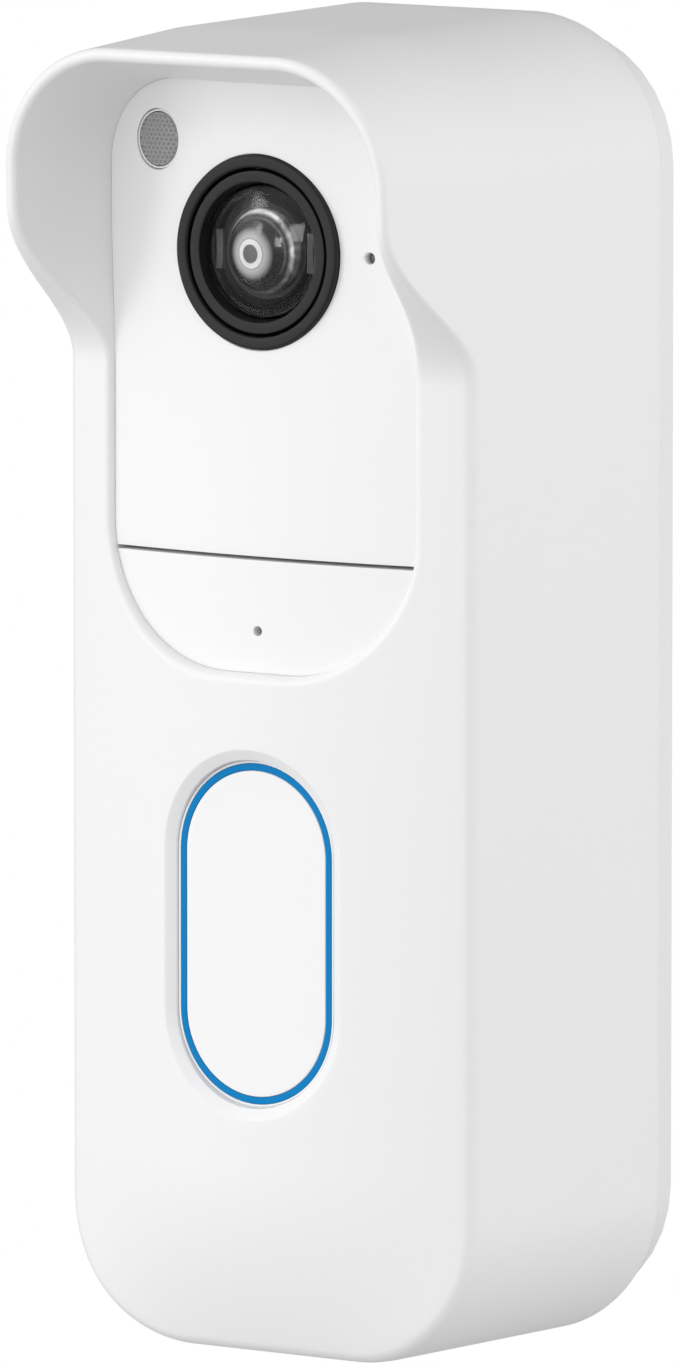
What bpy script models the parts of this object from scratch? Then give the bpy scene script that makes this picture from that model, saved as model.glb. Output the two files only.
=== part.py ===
"""Battery video doorbell in a soft silicone sleeve with a rain hood.

The wall is the plane Y = 0 and the doorbell looks along -Y. X runs to the right of
someone facing it and Z runs up. The origin is the middle of the wall face. A depth in
this file is the distance forward from the wall, so a point at depth d has Y = -d.
"""
import math

import bmesh
import bpy
import numpy as np
from mathutils import Vector

MM = 0.001
GAP = 0.3 * MM                      # air left between two pieces that touch

# Silicone sleeve, measured on its outside.
SLEEVE_WIDTH = 52.3 * MM            # at its rear edge
SLEEVE_HEIGHT = 138.0 * MM
SLEEVE_TOP = SLEEVE_HEIGHT / 2
SLEEVE_CORNER = 15.8 * MM
SLEEVE_WALL = 1.8 * MM
SLEEVE_REAR = 5.15 * MM             # depth of the rear edge
BODY_DRAFT = 0.55 * MM              # how much each side has come in at the crease
CREASE_DEPTH = 36.0 * MM            # where the hood starts to taper
EDGE_DEPTH = 38.4 * MM              # depth of the front edge beside the face
CROWN = 4.2 * MM                    # rise of the front from its edge to its middle
EDGE_ROLL = 1.9 * MM
BOTTOM_ROLL = 20.0 * MM             # height over which the front falls away below

# Rain hood, part of the sleeve.
RIM_DEPTH = 53.2 * MM
RIM_LEAN = 0.06                     # depth lost per unit of height down the rim
HOOD_SIDE_TAPER = 2.0 * MM          # from the crease to the rim
HOOD_TOP_TAPER = 1.25 * MM
HOOD_LIP = 1.4 * MM
SWEEP_LOW = SLEEVE_TOP - 35.5 * MM  # heights between which the sides sweep forward
SWEEP_MIDDLE = SLEEVE_TOP - 28.0 * MM
SWEEP_HIGH = SLEEVE_TOP - 18.8 * MM

# Opening of the sleeve around the face plates.
OPENING_WIDTH = 40.0 * MM
OPENING_TOP = SLEEVE_TOP - 5.0 * MM
OPENING_BOTTOM = 1.6 * MM
OPENING_TOP_CORNER = 9.6 * MM
OPENING_LOW_CORNER = 16.0 * MM
OPENING_ROLL = 0.6 * MM

# Sound slots in the bottom walls.
SLOT_HALF = 0.6 * MM
SLOT_DEPTHS = (11.5 * MM, 19.5 * MM)
SLOT_PITCH = 3.2 * MM
SLOT_COUNT = 5

# Doorbell unit, mounting plate and back cover.
PLATE_BASE = 2.0 * MM
PLATE_RIM = 1.8 * MM
PLATE_SCREW_HEIGHT = 38.0 * MM      # of the wall screw slots, above and below the middle
PLATE_SCREW_SLOT = (4.0 * MM, 9.0 * MM)
WIRE_WINDOW = (7.0 * MM, 4.5 * MM)  # half width and half height
COVER_THICKNESS = 2.0 * MM
GASKET_THICKNESS = 0.6 * MM
HOUSING_WALL = 1.8 * MM
SCREW_RADIUS = 1.05 * MM
SCREW_HEAD_RADIUS = 2.3 * MM
SCREW_HEAD = 0.9 * MM
SCREW_LENGTH = 9.5 * MM
BOSS_RADIUS = 3.0 * MM
BOSS_SINK = 1.5 * MM                # how far a boss is let into the wall
TERMINAL_HEAD_RADIUS = 2.6 * MM
TERMINAL_HEAD = 1.5 * MM
TERMINAL_LENGTH = 5.5 * MM

# Face plates.
SEAM_HEIGHT = 14.5 * MM
SEAM_WIDTH = 0.4 * MM
FACE_SKIN = 1.8 * MM
FACE_SKIRT = 1.3 * MM
FACE_RECESS = 1.8 * MM              # face plates below the sleeve's crown
FACE_CROWN = 1.6 * MM

# Camera.
LENS_HEIGHT = SLEEVE_TOP - 23.0 * MM
BEZEL_RADIUS = 10.0 * MM
BEZEL_LAND = 1.3 * MM
BEZEL_PROUD = 0.3 * MM
RETAINER_LAND = 1.15 * MM
RETAINER_SUNK = 0.2 * MM            # below the bezel
WINDOW_RISE = 2.0 * MM
WINDOW_THICKNESS = 0.8 * MM
WINDOW_SUNK = 0.7 * MM              # rim of the glass below the face
LED_WIDTH = 1.2 * MM
LED_HEIGHT = 4.2 * MM
LED_SPACE = 0.425 * MM              # between a lamp and the barrel or the window's edge
BARREL_WALL = 0.9 * MM
CAMERA_BOARD_WIDTH = 17.0 * MM
CAMERA_BOARD_THICKNESS = 1.0 * MM
SENSOR_HALF_WIDTH = 3.2 * MM
SENSOR_HALF_HEIGHT = 2.6 * MM
SENSOR_THICKNESS = 0.8 * MM

# Small features of the face.
MOTION_X = -13.4 * MM
MOTION_HEIGHT = LENS_HEIGHT + 11.1 * MM
MOTION_RADIUS = 3.25 * MM
MOTION_RECESS = 1.3 * MM
MOTION_CAN_RADIUS = 2.2 * MM
LIGHT_X = 13.5 * MM
LIGHT_RADIUS = 0.6 * MM
LIGHT_RECESS = 0.6 * MM
MICROPHONE_HEIGHT = 7.0 * MM
MICROPHONE_RADIUS = 0.5 * MM
MICROPHONE_CAN = (3.8 * MM, 1.0 * MM, 2.8 * MM)
PIN_SPACE = 0.1 * MM                # around the light pipe and in the microphone's gasket

# Call button.
BUTTON_HEIGHT = -24.3 * MM
BUTTON_WIDTH = 16.9 * MM
BUTTON_LENGTH = 33.3 * MM
RING_WIDTH = 0.7 * MM
FRAME_WIDTH = 0.4 * MM
WINDOW_CHAMFER = 0.6 * MM
BUTTON_TRAVEL = 0.5 * MM
BUTTON_FLANGE = 1.1 * MM
FLANGE_OVERLAP = 1.1 * MM           # flange behind the housing, past the button's sides
SEAL_OVERLAP = 2.25 * MM
SEAL_THICKNESS = 0.7 * MM
POST_RADIUS = 1.5 * MM

# Electronics and batteries.
BOARD_DEPTH = 25.6 * MM
BOARD_THICKNESS = 1.6 * MM
SWITCH_SIDE = 6.0 * MM
SWITCH_HEIGHT = 1.8 * MM
PLUNGER_RADIUS = 1.1 * MM
PLUNGER_PROUD = 0.8 * MM
SHIELD_HALF_WIDTH = 9.0 * MM
SHIELD_HEIGHTS = (15.0 * MM, 33.0 * MM)
SHIELD_THICKNESS = 2.2 * MM
ANTENNA_X = (2.0 * MM, 12.0 * MM)
ANTENNA_HEIGHTS = (LENS_HEIGHT + 12.0 * MM, LENS_HEIGHT + 15.0 * MM)
CHIP_THICKNESS = 1.0 * MM           # antenna and ring lamps
RING_LED = (2.8 * MM, 1.6 * MM)
SPEAKER_HALF_WIDTH = 9.0 * MM
SPEAKER_THICKNESS = 4.0 * MM
SPEAKER_MESH_THICKNESS = 0.6 * MM
BATTERY_RADIUS = 7.0 * MM
BATTERY_LENGTH = 50.5 * MM
BATTERY_SPACE = 0.5 * MM            # between neighbouring batteries
BATTERY_BOTTOM = -49.5 * MM
BATTERY_EDGE = 0.6 * MM
BATTERY_NUB = (2.7 * MM, 1.0 * MM)  # radius and height
CONTACT_LENGTH = 2.8 * MM
CONTACT_STEM_RADIUS = 2.0 * MM
CONTACT_RADIUS = 4.0 * MM
CONTACT_HEAD = 0.6 * MM
TRAY_WALL = 1.4 * MM

# Release latch on the mounting plate.
LATCH_HEIGHT = 8.0 * MM - SLEEVE_TOP    # underside of the latch's stem
LATCH_TRAVEL = 1.5 * MM
LATCH_HALF = 4.0 * MM
LATCH_STEM_HALF = 3.0 * MM
LATCH_STEM = 2.0 * MM
LATCH_CATCH = 1.2 * MM
CATCH_THICKNESS = 1.2 * MM          # of the latch's and the hooks' lips
RAIL_WIDTH = 1.2 * MM
KEY_RADIUS = 1.0 * MM
SPRING_LENGTH = 6.0 * MM
SPRING_STOP = 1.6 * MM
HOOK_X = 10.0 * MM
HOOK_HEIGHT = SLEEVE_TOP - 13.0 * MM
HOOK_WIDTH = 6.0 * MM
WIRE_HEIGHT = 18.0 * MM
TERMINAL_X = 5.0 * MM

# Values worked out from the ones above.
UNIT_INSET = SLEEVE_WALL + GAP
COVER_REAR = SLEEVE_REAR
COVER_FRONT = COVER_REAR + COVER_THICKNESS
CATCH_BACK = COVER_FRONT + GAP
CATCH_FRONT = CATCH_BACK + CATCH_THICKNESS
HOUSING_REAR = COVER_FRONT + GASKET_THICKNESS + 2 * GAP
SLEEVE_FRONT_INSIDE = EDGE_DEPTH - EDGE_ROLL
HOUSING_FRONT = SLEEVE_FRONT_INSIDE - GAP
FACE_BACK = HOUSING_FRONT + GAP
CROWN_TOP = EDGE_DEPTH + CROWN
FACE_TOP = CROWN_TOP - FACE_RECESS
BEZEL_FRONT = FACE_TOP + BEZEL_PROUD
BEZEL_INNER = BEZEL_RADIUS - BEZEL_LAND
RETAINER_INNER = BEZEL_INNER - GAP - RETAINER_LAND
WINDOW_RADIUS = RETAINER_INNER - GAP
BARREL_RADIUS = WINDOW_RADIUS - LED_WIDTH - 2 * LED_SPACE
BOARD_FRONT = BOARD_DEPTH + BOARD_THICKNESS
BUTTON_FRONT = FACE_TOP + GAP
HOUSING_INNER_FRONT = HOUSING_FRONT - HOUSING_WALL
FLANGE_FRONT = HOUSING_INNER_FRONT - GAP
FLANGE_BACK = FLANGE_FRONT - BUTTON_FLANGE


def material(name, colour, roughness, metallic=0.0, transmission=0.0):
    """Return a Principled material with the given finish."""
    made = bpy.data.materials.new(name)
    made.use_nodes = True
    shader = made.node_tree.nodes["Principled BSDF"]
    shader.inputs["Base Color"].default_value = (*colour, 1.0)
    shader.inputs["Roughness"].default_value = roughness
    shader.inputs["Metallic"].default_value = metallic
    shader.inputs["Transmission Weight"].default_value = transmission
    made.diffuse_color = (*colour, 1.0)
    return made


def add_object(name, bm, finish):
    """Turn a bmesh into a named object with one material."""
    bmesh.ops.recalc_face_normals(bm, faces=bm.faces)
    mesh = bpy.data.meshes.new(name)
    bm.to_mesh(mesh)
    bm.free()
    obj = bpy.data.objects.new(name, mesh)
    bpy.context.scene.collection.objects.link(obj)
    mesh.materials.append(finish)
    mesh.shade_smooth()
    mesh.set_sharp_from_angle(angle=math.radians(35))
    return obj


def combine(obj, tool, operation):
    """Apply one EXACT boolean to obj and remove the tool."""
    finish = obj.data.materials[0]
    step = obj.modifiers.new(operation, "BOOLEAN")
    step.operation = operation
    step.solver = "EXACT"
    step.object = tool
    graph = bpy.context.evaluated_depsgraph_get()
    mesh = bpy.data.meshes.new_from_object(obj.evaluated_get(graph))
    obj.modifiers.clear()
    obj.data = mesh
    mesh.materials.clear()
    mesh.materials.append(finish)
    mesh.set_sharp_from_angle(angle=math.radians(35))
    bpy.data.objects.remove(tool)


def cut(obj, *tools):
    for tool in tools:
        combine(obj, tool, "DIFFERENCE")


def fuse(obj, *tools):
    for tool in tools:
        combine(obj, tool, "UNION")


def set_origin(obj, point):
    """Move the object's origin to a point on its joint's axis."""
    offset = Vector(point)
    for vertex in obj.data.vertices:
        vertex.co -= offset
    obj.location = offset


def loft(name, rings, finish, closed=False):
    """Skin equal rings of points. A closed loft is a tube bent into a loop."""
    bm = bmesh.new()
    rows = [[bm.verts.new(point) for point in ring] for ring in rings]
    pairs = list(zip(rows, rows[1:]))
    if closed:
        pairs.append((rows[-1], rows[0]))
    count = len(rows[0])
    for near, far in pairs:
        for i in range(count):
            j = (i + 1) % count
            bm.faces.new((near[i], near[j], far[j], far[i]))
    if not closed:
        bm.faces.new(rows[0])
        bm.faces.new(rows[-1])
    return add_object(name, bm, finish)


def at_depth(outline, depth):
    """Place an (x, z) outline at one depth, or at one depth for each point."""
    depths = np.broadcast_to(depth, len(outline))
    return [(x, -d, z) for (x, z), d in zip(outline, depths)]


def arc(centre_x, centre_z, radius, start, end, steps):
    """Points of an arc, with its angles in degrees from +X towards +Z."""
    angles = np.radians(np.linspace(start, end, steps + 1))
    return np.column_stack([centre_x + radius * np.cos(angles),
                            centre_z + radius * np.sin(angles)])


def rounded(half_width, half_height, radius, steps=8, centre=(0.0, 0.0)):
    """Outline of a rounded rectangle."""
    x = half_width - radius
    z = half_height - radius
    corners = [arc(x, z, radius, 0, 90, steps), arc(-x, z, radius, 90, 180, steps),
               arc(-x, -z, radius, 180, 270, steps), arc(x, -z, radius, 270, 360, steps)]
    return np.vstack(corners) + np.array(centre)


def pill(width, length, centre=(0.0, 0.0), steps=20):
    """Outline of an upright slot with round ends."""
    radius = width / 2
    z = length / 2 - radius
    ends = [arc(0, z, radius, 0, 180, steps), arc(0, -z, radius, 180, 360, steps)]
    return np.vstack(ends) + np.array(centre)


def circle(radius, centre=(0.0, 0.0), steps=32):
    return arc(centre[0], centre[1], radius, 0, 360, steps)[:-1]


def prism(name, outline, near, far, finish):
    """Solid between two depths with one outline."""
    return loft(name, [at_depth(outline, near), at_depth(outline, far)], finish)


def tube(name, outer, inner, near, far, finish):
    """Ring-shaped solid between two outlines with equal numbers of points."""
    rings = [at_depth(outer, near), at_depth(outer, far),
             at_depth(inner, far), at_depth(inner, near)]
    return loft(name, rings, finish, closed=True)


def block(name, x_range, depth_range, z_range, finish):
    """Box between two values on each axis."""
    (x0, x1), (z0, z1) = x_range, z_range
    outline = np.array([(x0, z0), (x1, z0), (x1, z1), (x0, z1)])
    return prism(name, outline, depth_range[0], depth_range[1], finish)


def turned(name, profile, centre, finish, steps=32):
    """Solid turned about an axis along Y: profile is (radius, depth) pairs."""
    rings = [at_depth(circle(radius, centre, steps), depth) for radius, depth in profile]
    return loft(name, rings, finish)


def turned_ring(name, profile, centre, finish, steps=48):
    """Ring turned about an axis along Y from a closed (radius, depth) profile."""
    rings = [at_depth(circle(radius, centre, steps), depth) for radius, depth in profile]
    return loft(name, rings, finish, closed=True)


def upright(name, profile, x, depth, finish, steps=20):
    """Solid turned about an axis along Z: profile is (radius, height) pairs."""
    rings = []
    for radius, height in profile:
        spread = circle(radius, (x, -depth), steps)
        rings.append([(px, py, height) for px, py in spread])
    return loft(name, rings, finish)


def coil(name, x, depth, z_range, radius, wire, turns, finish):
    """Compression spring about an axis along Z, as a round wire on a helix."""
    curve = bpy.data.curves.new(name, "CURVE")
    curve.dimensions = "3D"
    curve.bevel_depth = wire
    curve.bevel_resolution = 1
    curve.use_fill_caps = True
    angles = np.linspace(0, 2 * math.pi * turns, int(12 * turns) + 1)
    heights = np.linspace(z_range[0] + wire, z_range[1] - wire, len(angles))
    spline = curve.splines.new("POLY")
    spline.points.add(len(angles) - 1)
    for point, angle, height in zip(spline.points, angles, heights):
        px = x + radius * math.cos(angle)
        py = -depth + radius * math.sin(angle)
        point.co = (px, py, height, 1.0)
    curve.materials.append(finish)
    obj = bpy.data.objects.new(name, curve)
    bpy.context.scene.collection.objects.link(obj)
    return obj


# ---------------------------------------------------------------- the sleeve's shape

def body_outline_sizes(depth):
    """Half width, half height and corner radius of the sleeve's outside at a depth."""
    to_crease = np.clip((depth - SLEEVE_REAR) / (CREASE_DEPTH - SLEEVE_REAR), 0, 1)
    past_crease = np.clip((depth - CREASE_DEPTH) / (RIM_DEPTH - CREASE_DEPTH), 0, 1)
    side = BODY_DRAFT * to_crease + HOOD_SIDE_TAPER * past_crease
    top = BODY_DRAFT * to_crease + HOOD_TOP_TAPER * past_crease
    return SLEEVE_WIDTH / 2 - side, SLEEVE_HEIGHT / 2 - top, SLEEVE_CORNER - side


def front_depth(x, z):
    """Depth of the sleeve's crowned front: it falls to its sides and to its bottom."""
    half_width = SLEEVE_WIDTH / 2 - BODY_DRAFT
    low = SLEEVE_HEIGHT / 2 - BODY_DRAFT
    across = 1 - (x / half_width) ** 2
    below = np.clip((-z - (low - BOTTOM_ROLL)) / BOTTOM_ROLL, 0, 1)
    return EDGE_DEPTH + CROWN * across * (1 - below ** 2)


def sweep(z):
    """0 below the hood and 1 in it: a quarter wave up, then a longer one to level."""
    low = SWEEP_MIDDLE - SWEEP_LOW
    high = SWEEP_HIGH - SWEEP_MIDDLE
    share = low / (low + high)
    rise = np.clip((z - SWEEP_LOW) / low, 0, 1)
    settle = np.clip((z - SWEEP_MIDDLE) / high, 0, 1)
    return share * (1 - np.cos(rise * math.pi / 2)) + (1 - share) * np.sin(settle * math.pi / 2)


def rim_depth(z):
    return RIM_DEPTH - RIM_LEAN * (SLEEVE_HEIGHT / 2 - z)


def half_ring(half_width, top, corner, low_corner, bottom, side_heights, inset=0.0):
    """Right half of a loop, top middle to bottom middle, in matching steps.

    The side has one point at each of side_heights, so that two loops made with the
    same heights lie level beside each other there.
    """
    half_width = half_width - inset
    top = top - inset
    corner = max(corner - inset, 0.2 * MM)
    low_corner = max(low_corner - inset, 0.2 * MM)
    bottom = bottom + inset
    top_edge = np.column_stack([np.linspace(0, half_width - corner, 4)[:-1], np.full(3, top)])
    top_arc = arc(half_width - corner, top - corner, corner, 90, 0, 8)
    side = np.column_stack([np.full(len(side_heights), half_width), side_heights])
    last = side_heights[-1]
    lower_side = np.linspace(last, bottom + low_corner, 6)[1:-1]
    low_side = np.column_stack([np.full(len(lower_side), half_width), lower_side])
    low_arc = arc(half_width - low_corner, bottom + low_corner, low_corner, 0, -90, 10)
    flat = np.linspace(half_width - low_corner, 0, 4)[1:]
    low_edge = np.column_stack([flat, np.full(3, bottom)])
    return np.vstack([top_edge, top_arc, side, low_side, low_arc, low_edge])


def whole_ring(half):
    """Mirror a right half, whose ends lie on X = 0, to a whole loop."""
    left = half[1:-1][::-1] * np.array([-1.0, 1.0])
    return np.vstack([half, left])


def side_levels():
    """Heights down the side between the hood's corner and the opening's low corner."""
    upper = min(SLEEVE_TOP - SLEEVE_CORNER, OPENING_TOP - OPENING_TOP_CORNER) - MM
    lower = OPENING_BOTTOM + OPENING_LOW_CORNER + MM
    return np.linspace(upper, lower, 20)


def body_ring(depth, inset=0.0):
    """The sleeve's outside outline at a depth, moved in by an inset."""
    half_width, half_height, corner = body_outline_sizes(depth)
    half = half_ring(half_width, half_height, corner, corner, -half_height,
                     side_levels(), inset)
    return whole_ring(half)


def edge_ring(edge_depth, inset=0.0):
    """The outside outline where every point has its own depth."""
    rings = [body_ring(float(depth), inset)[i] for i, depth in enumerate(edge_depth)]
    return np.array(rings)


def opening_ring(inset=0.0):
    """The opening around the face plates, in step with body_ring."""
    half = half_ring(OPENING_WIDTH / 2, OPENING_TOP, OPENING_TOP_CORNER,
                     OPENING_LOW_CORNER, OPENING_BOTTOM, side_levels(), inset)
    return whole_ring(half)


def make_sleeve(finish):
    """Soft sleeve: drafted sides, crowned front and a hood, around an open face."""
    start = body_ring(EDGE_DEPTH)
    hood = sweep(start[:, 1])
    roll = (1 - hood) * EDGE_ROLL + hood * HOOD_LIP / 2
    edge = (1 - hood) * front_depth(start[:, 0], start[:, 1]) + hood * rim_depth(start[:, 1])
    cavity = body_ring(SLEEVE_REAR, SLEEVE_WALL)
    rings = [at_depth(cavity, SLEEVE_REAR), at_depth(body_ring(SLEEVE_REAR), SLEEVE_REAR),
             at_depth(body_ring(CREASE_DEPTH), CREASE_DEPTH)]
    for turn in (0, 22.5, 45, 67.5, 90):
        back = roll * (1 - math.sin(math.radians(turn)))
        across = roll * (1 - math.cos(math.radians(turn)))
        outside = edge_ring(edge - back)
        inward = (edge_ring(edge - back, MM) - outside) / MM
        moved = outside + inward * across[:, None]
        rings.append(at_depth(moved, np.maximum(edge - back, CREASE_DEPTH + 0.1 * MM)))
    shoulder = moved
    mouth = opening_ring()
    rim = edge_ring(edge, HOOD_LIP) * hood[:, None] + mouth * (1 - hood[:, None])
    for share in (0.33, 0.67, 1.0):
        across = shoulder * (1 - share) + rim * share
        crowned = front_depth(across[:, 0], across[:, 1])
        rings.append(at_depth(across, (1 - hood) * crowned + hood * rim_depth(start[:, 1])))
    throat = opening_ring(OPENING_ROLL)
    throat_depth = front_depth(mouth[:, 0], mouth[:, 1]) - OPENING_ROLL
    rings.append(at_depth(throat, throat_depth))
    rings.append(at_depth(throat, SLEEVE_FRONT_INSIDE))
    rings.append(at_depth(cavity, SLEEVE_FRONT_INSIDE))
    sleeve = loft("silicone_sleeve", rings, finish, closed=True)
    window = window_sizes()
    chamfer = WINDOW_CHAMFER
    centre = (0.0, BUTTON_HEIGHT)
    lip_depth = float(front_depth(window[0] / 2, BUTTON_HEIGHT))
    rings = [at_depth(pill(*window, centre), SLEEVE_FRONT_INSIDE - MM),
             at_depth(pill(*window, centre), lip_depth - chamfer),
             at_depth(pill(window[0] + 2 * chamfer, window[1] + 2 * chamfer, centre), lip_depth),
             at_depth(pill(window[0] + 2 * chamfer, window[1] + 2 * chamfer, centre),
                      CROWN_TOP + MM)]
    cut(sleeve, loft("window_cutter", rings, finish))
    for x in speaker_slots():
        slot = block("slot_cutter", (x - SLOT_HALF, x + SLOT_HALF), SLOT_DEPTHS,
                     (-SLEEVE_TOP - MM, SLEEVE_WALL + MM - SLEEVE_TOP), finish)
        cut(sleeve, slot)
    return sleeve


# ---------------------------------------------------------------- shared places

def speaker_slots():
    """X positions of the sound slots in the bottom walls."""
    return [(i - (SLOT_COUNT - 1) / 2) * SLOT_PITCH for i in range(SLOT_COUNT)]


def unit_sizes(inset=0.0):
    """Half width, half height and corner radius of the unit inside the sleeve."""
    total = UNIT_INSET + inset
    return SLEEVE_WIDTH / 2 - total, SLEEVE_HEIGHT / 2 - total, SLEEVE_CORNER - total


def unit_outline(inset=0.0):
    return rounded(*unit_sizes(inset))


def ring_outer():
    """Width and length of the blue light ring."""
    extra = 2 * (GAP + RING_WIDTH)
    return BUTTON_WIDTH + extra, BUTTON_LENGTH + extra


def frame_outer():
    """Width and length of the white frame around the light ring."""
    width, length = ring_outer()
    extra = 2 * (GAP + FRAME_WIDTH)
    return width + extra, length + extra


def window_sizes():
    """Width and length of the sleeve's button window."""
    width, length = frame_outer()
    return width + 2 * GAP, length + 2 * GAP


def boss_places():
    """Centres of the four screw bosses, let into the corners of the housing."""
    half_width, half_height, corner = unit_sizes(HOUSING_WALL)
    reach = (corner - BOSS_RADIUS + BOSS_SINK) * math.sqrt(0.5)
    x = half_width - corner + reach
    z = half_height - corner + reach
    return [(x, z), (-x, z), (-x, -z), (x, -z)]


def battery_places():
    """X positions of the batteries and the way up of each."""
    pitch = 2 * BATTERY_RADIUS + BATTERY_SPACE
    return [(-pitch, 1), (0.0, -1), (pitch, 1)]


def battery_depth():
    return HOUSING_REAR + BATTERY_SPACE + BATTERY_RADIUS


# ---------------------------------------------------------------- wall side

def make_mounting_plate(finish):
    """Shallow wall tray with two hooks, a latch slide, screw slots and a wire window."""
    half_width, half_height, corner = unit_sizes()
    front = SLEEVE_REAR - GAP
    plate = prism("mounting_plate", unit_outline(), 0.0, front, finish)
    hollow = rounded(half_width - PLATE_RIM, half_height - PLATE_RIM, corner - PLATE_RIM)
    cut(plate, prism("tray_cutter", hollow, PLATE_BASE, front + MM, finish))
    window = rounded(*WIRE_WINDOW, 1.5 * MM, 4, (0.0, WIRE_HEIGHT))
    cut(plate, prism("wire_cutter", window, -MM, PLATE_BASE + MM, finish))
    for z in (-PLATE_SCREW_HEIGHT, PLATE_SCREW_HEIGHT):
        slot = pill(*PLATE_SCREW_SLOT, (0.0, z), 8)
        cut(plate, prism("screw_slot_cutter", slot, -MM, PLATE_BASE + MM, finish))
    for x in (-HOOK_X, HOOK_X):
        sides = (x - HOOK_WIDTH / 2, x + HOOK_WIDTH / 2)
        stem = block("hook", sides, (PLATE_BASE / 2, CATCH_FRONT),
                     (HOOK_HEIGHT, HOOK_HEIGHT + LATCH_STEM), finish)
        lip = block("hook_lip", sides, (CATCH_BACK, CATCH_FRONT),
                    (HOOK_HEIGHT + MM, HOOK_HEIGHT + LATCH_STEM + LATCH_CATCH), finish)
        fuse(stem, lip)
        fuse(plate, stem)
    rail_top = latch_top()
    for side in (-1, 1):
        near = side * (LATCH_HALF + GAP)
        far = side * (LATCH_HALF + GAP + RAIL_WIDTH)
        rail = block("latch_rail", (min(near, far), max(near, far)), (PLATE_BASE / 2, front),
                     (-half_height + PLATE_RIM / 2, rail_top), finish)
        fuse(plate, rail)
    stop = block("spring_stop", (-LATCH_STEM_HALF, LATCH_STEM_HALF), (PLATE_BASE / 2, front),
                 (spring_top(), spring_top() + SPRING_STOP), finish)
    fuse(plate, stop)
    key = upright("key_cutter", [(KEY_RADIUS, -half_height - MM),
                                 (KEY_RADIUS, -half_height + PLATE_RIM + MM)],
                  0.0, latch_middle(), finish, 12)
    cut(plate, key)
    return plate


def latch_middle():
    """Depth of the latch's middle, in the space in front of the plate's base."""
    return (PLATE_BASE + SLEEVE_REAR - GAP) / 2


def latch_top():
    return LATCH_HEIGHT + 2 * LATCH_STEM


def spring_top():
    return latch_top() + SPRING_LENGTH


def make_latch(finish):
    """Sprung catch behind the back cover. It slides up to let the doorbell go."""
    _, half_height, _ = unit_sizes()
    low = -half_height + PLATE_RIM + GAP
    front = SLEEVE_REAR - 2 * GAP
    latch = block("release_latch", (-LATCH_HALF, LATCH_HALF), (PLATE_BASE + GAP, front),
                  (low, latch_top()), finish)
    sides = (-LATCH_STEM_HALF, LATCH_STEM_HALF)
    stem = block("latch_stem", sides, (PLATE_BASE + MM, CATCH_FRONT),
                 (LATCH_HEIGHT, LATCH_HEIGHT + LATCH_STEM), finish)
    lip = block("latch_lip", sides, (CATCH_BACK, CATCH_FRONT),
                (LATCH_HEIGHT - LATCH_CATCH - GAP, LATCH_HEIGHT + MM), finish)
    fuse(stem, lip)
    fuse(latch, stem)
    set_origin(latch, (0.0, -latch_middle(), LATCH_HEIGHT))
    return latch


def make_back_cover(finish):
    """Flat rear cover of the unit, screwed to the housing from behind."""
    cover = prism("back_cover", unit_outline(), COVER_REAR, COVER_FRONT, finish)
    through = (COVER_REAR - MM, COVER_FRONT + MM)
    for x in (-HOOK_X, HOOK_X):
        sides = (x - HOOK_WIDTH / 2 - GAP, x + HOOK_WIDTH / 2 + GAP)
        heights = (HOOK_HEIGHT - LATCH_CATCH - 3 * GAP, HOOK_HEIGHT + LATCH_STEM + GAP)
        cut(cover, block("hook_window", sides, through, heights, finish))
    heights = (LATCH_HEIGHT - GAP, LATCH_HEIGHT + LATCH_STEM + LATCH_TRAVEL + GAP)
    sides = (-LATCH_STEM_HALF - GAP, LATCH_STEM_HALF + GAP)
    cut(cover, block("latch_window", sides, through, heights, finish))
    for x, z in boss_places():
        bore = circle(SCREW_RADIUS + GAP, (x, z), 16)
        seat = circle(SCREW_HEAD_RADIUS + GAP, (x, z), 16)
        cut(cover, prism("screw_bore", bore, *through, finish))
        cut(cover, prism("screw_seat", seat, COVER_REAR - MM, COVER_REAR + SCREW_HEAD + GAP,
                         finish))
    for x in (-TERMINAL_X, TERMINAL_X):
        bore = circle(SCREW_RADIUS + GAP, (x, WIRE_HEIGHT), 16)
        cut(cover, prism("terminal_bore", bore, *through, finish))
    return cover


def make_screws(steel, brass):
    """Four housing screws and the two wiring screws."""
    for number, place in enumerate(boss_places(), 1):
        head = [(SCREW_HEAD_RADIUS, COVER_REAR), (SCREW_HEAD_RADIUS, COVER_REAR + SCREW_HEAD),
                (SCREW_RADIUS, COVER_REAR + SCREW_HEAD), (SCREW_RADIUS, COVER_REAR + SCREW_LENGTH)]
        turned(f"housing_screw_{number}", head, place, steel, 16)
    head_front = COVER_REAR - GAP
    for side, x in (("left", -TERMINAL_X), ("right", TERMINAL_X)):
        head_back = head_front - TERMINAL_HEAD
        head = [(TERMINAL_HEAD_RADIUS, head_back), (TERMINAL_HEAD_RADIUS, head_front),
                (SCREW_RADIUS, head_front), (SCREW_RADIUS, head_back + TERMINAL_LENGTH)]
        turned(f"terminal_screw_{side}", head, (x, WIRE_HEIGHT), brass, 16)


def make_gasket(finish):
    """Flat rubber ring between the back cover and the housing."""
    return tube("cover_gasket", unit_outline(GAP), unit_outline(HOUSING_WALL),
                COVER_FRONT + GAP, COVER_FRONT + GAP + GASKET_THICKNESS, finish)


# ---------------------------------------------------------------- housing and face

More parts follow.
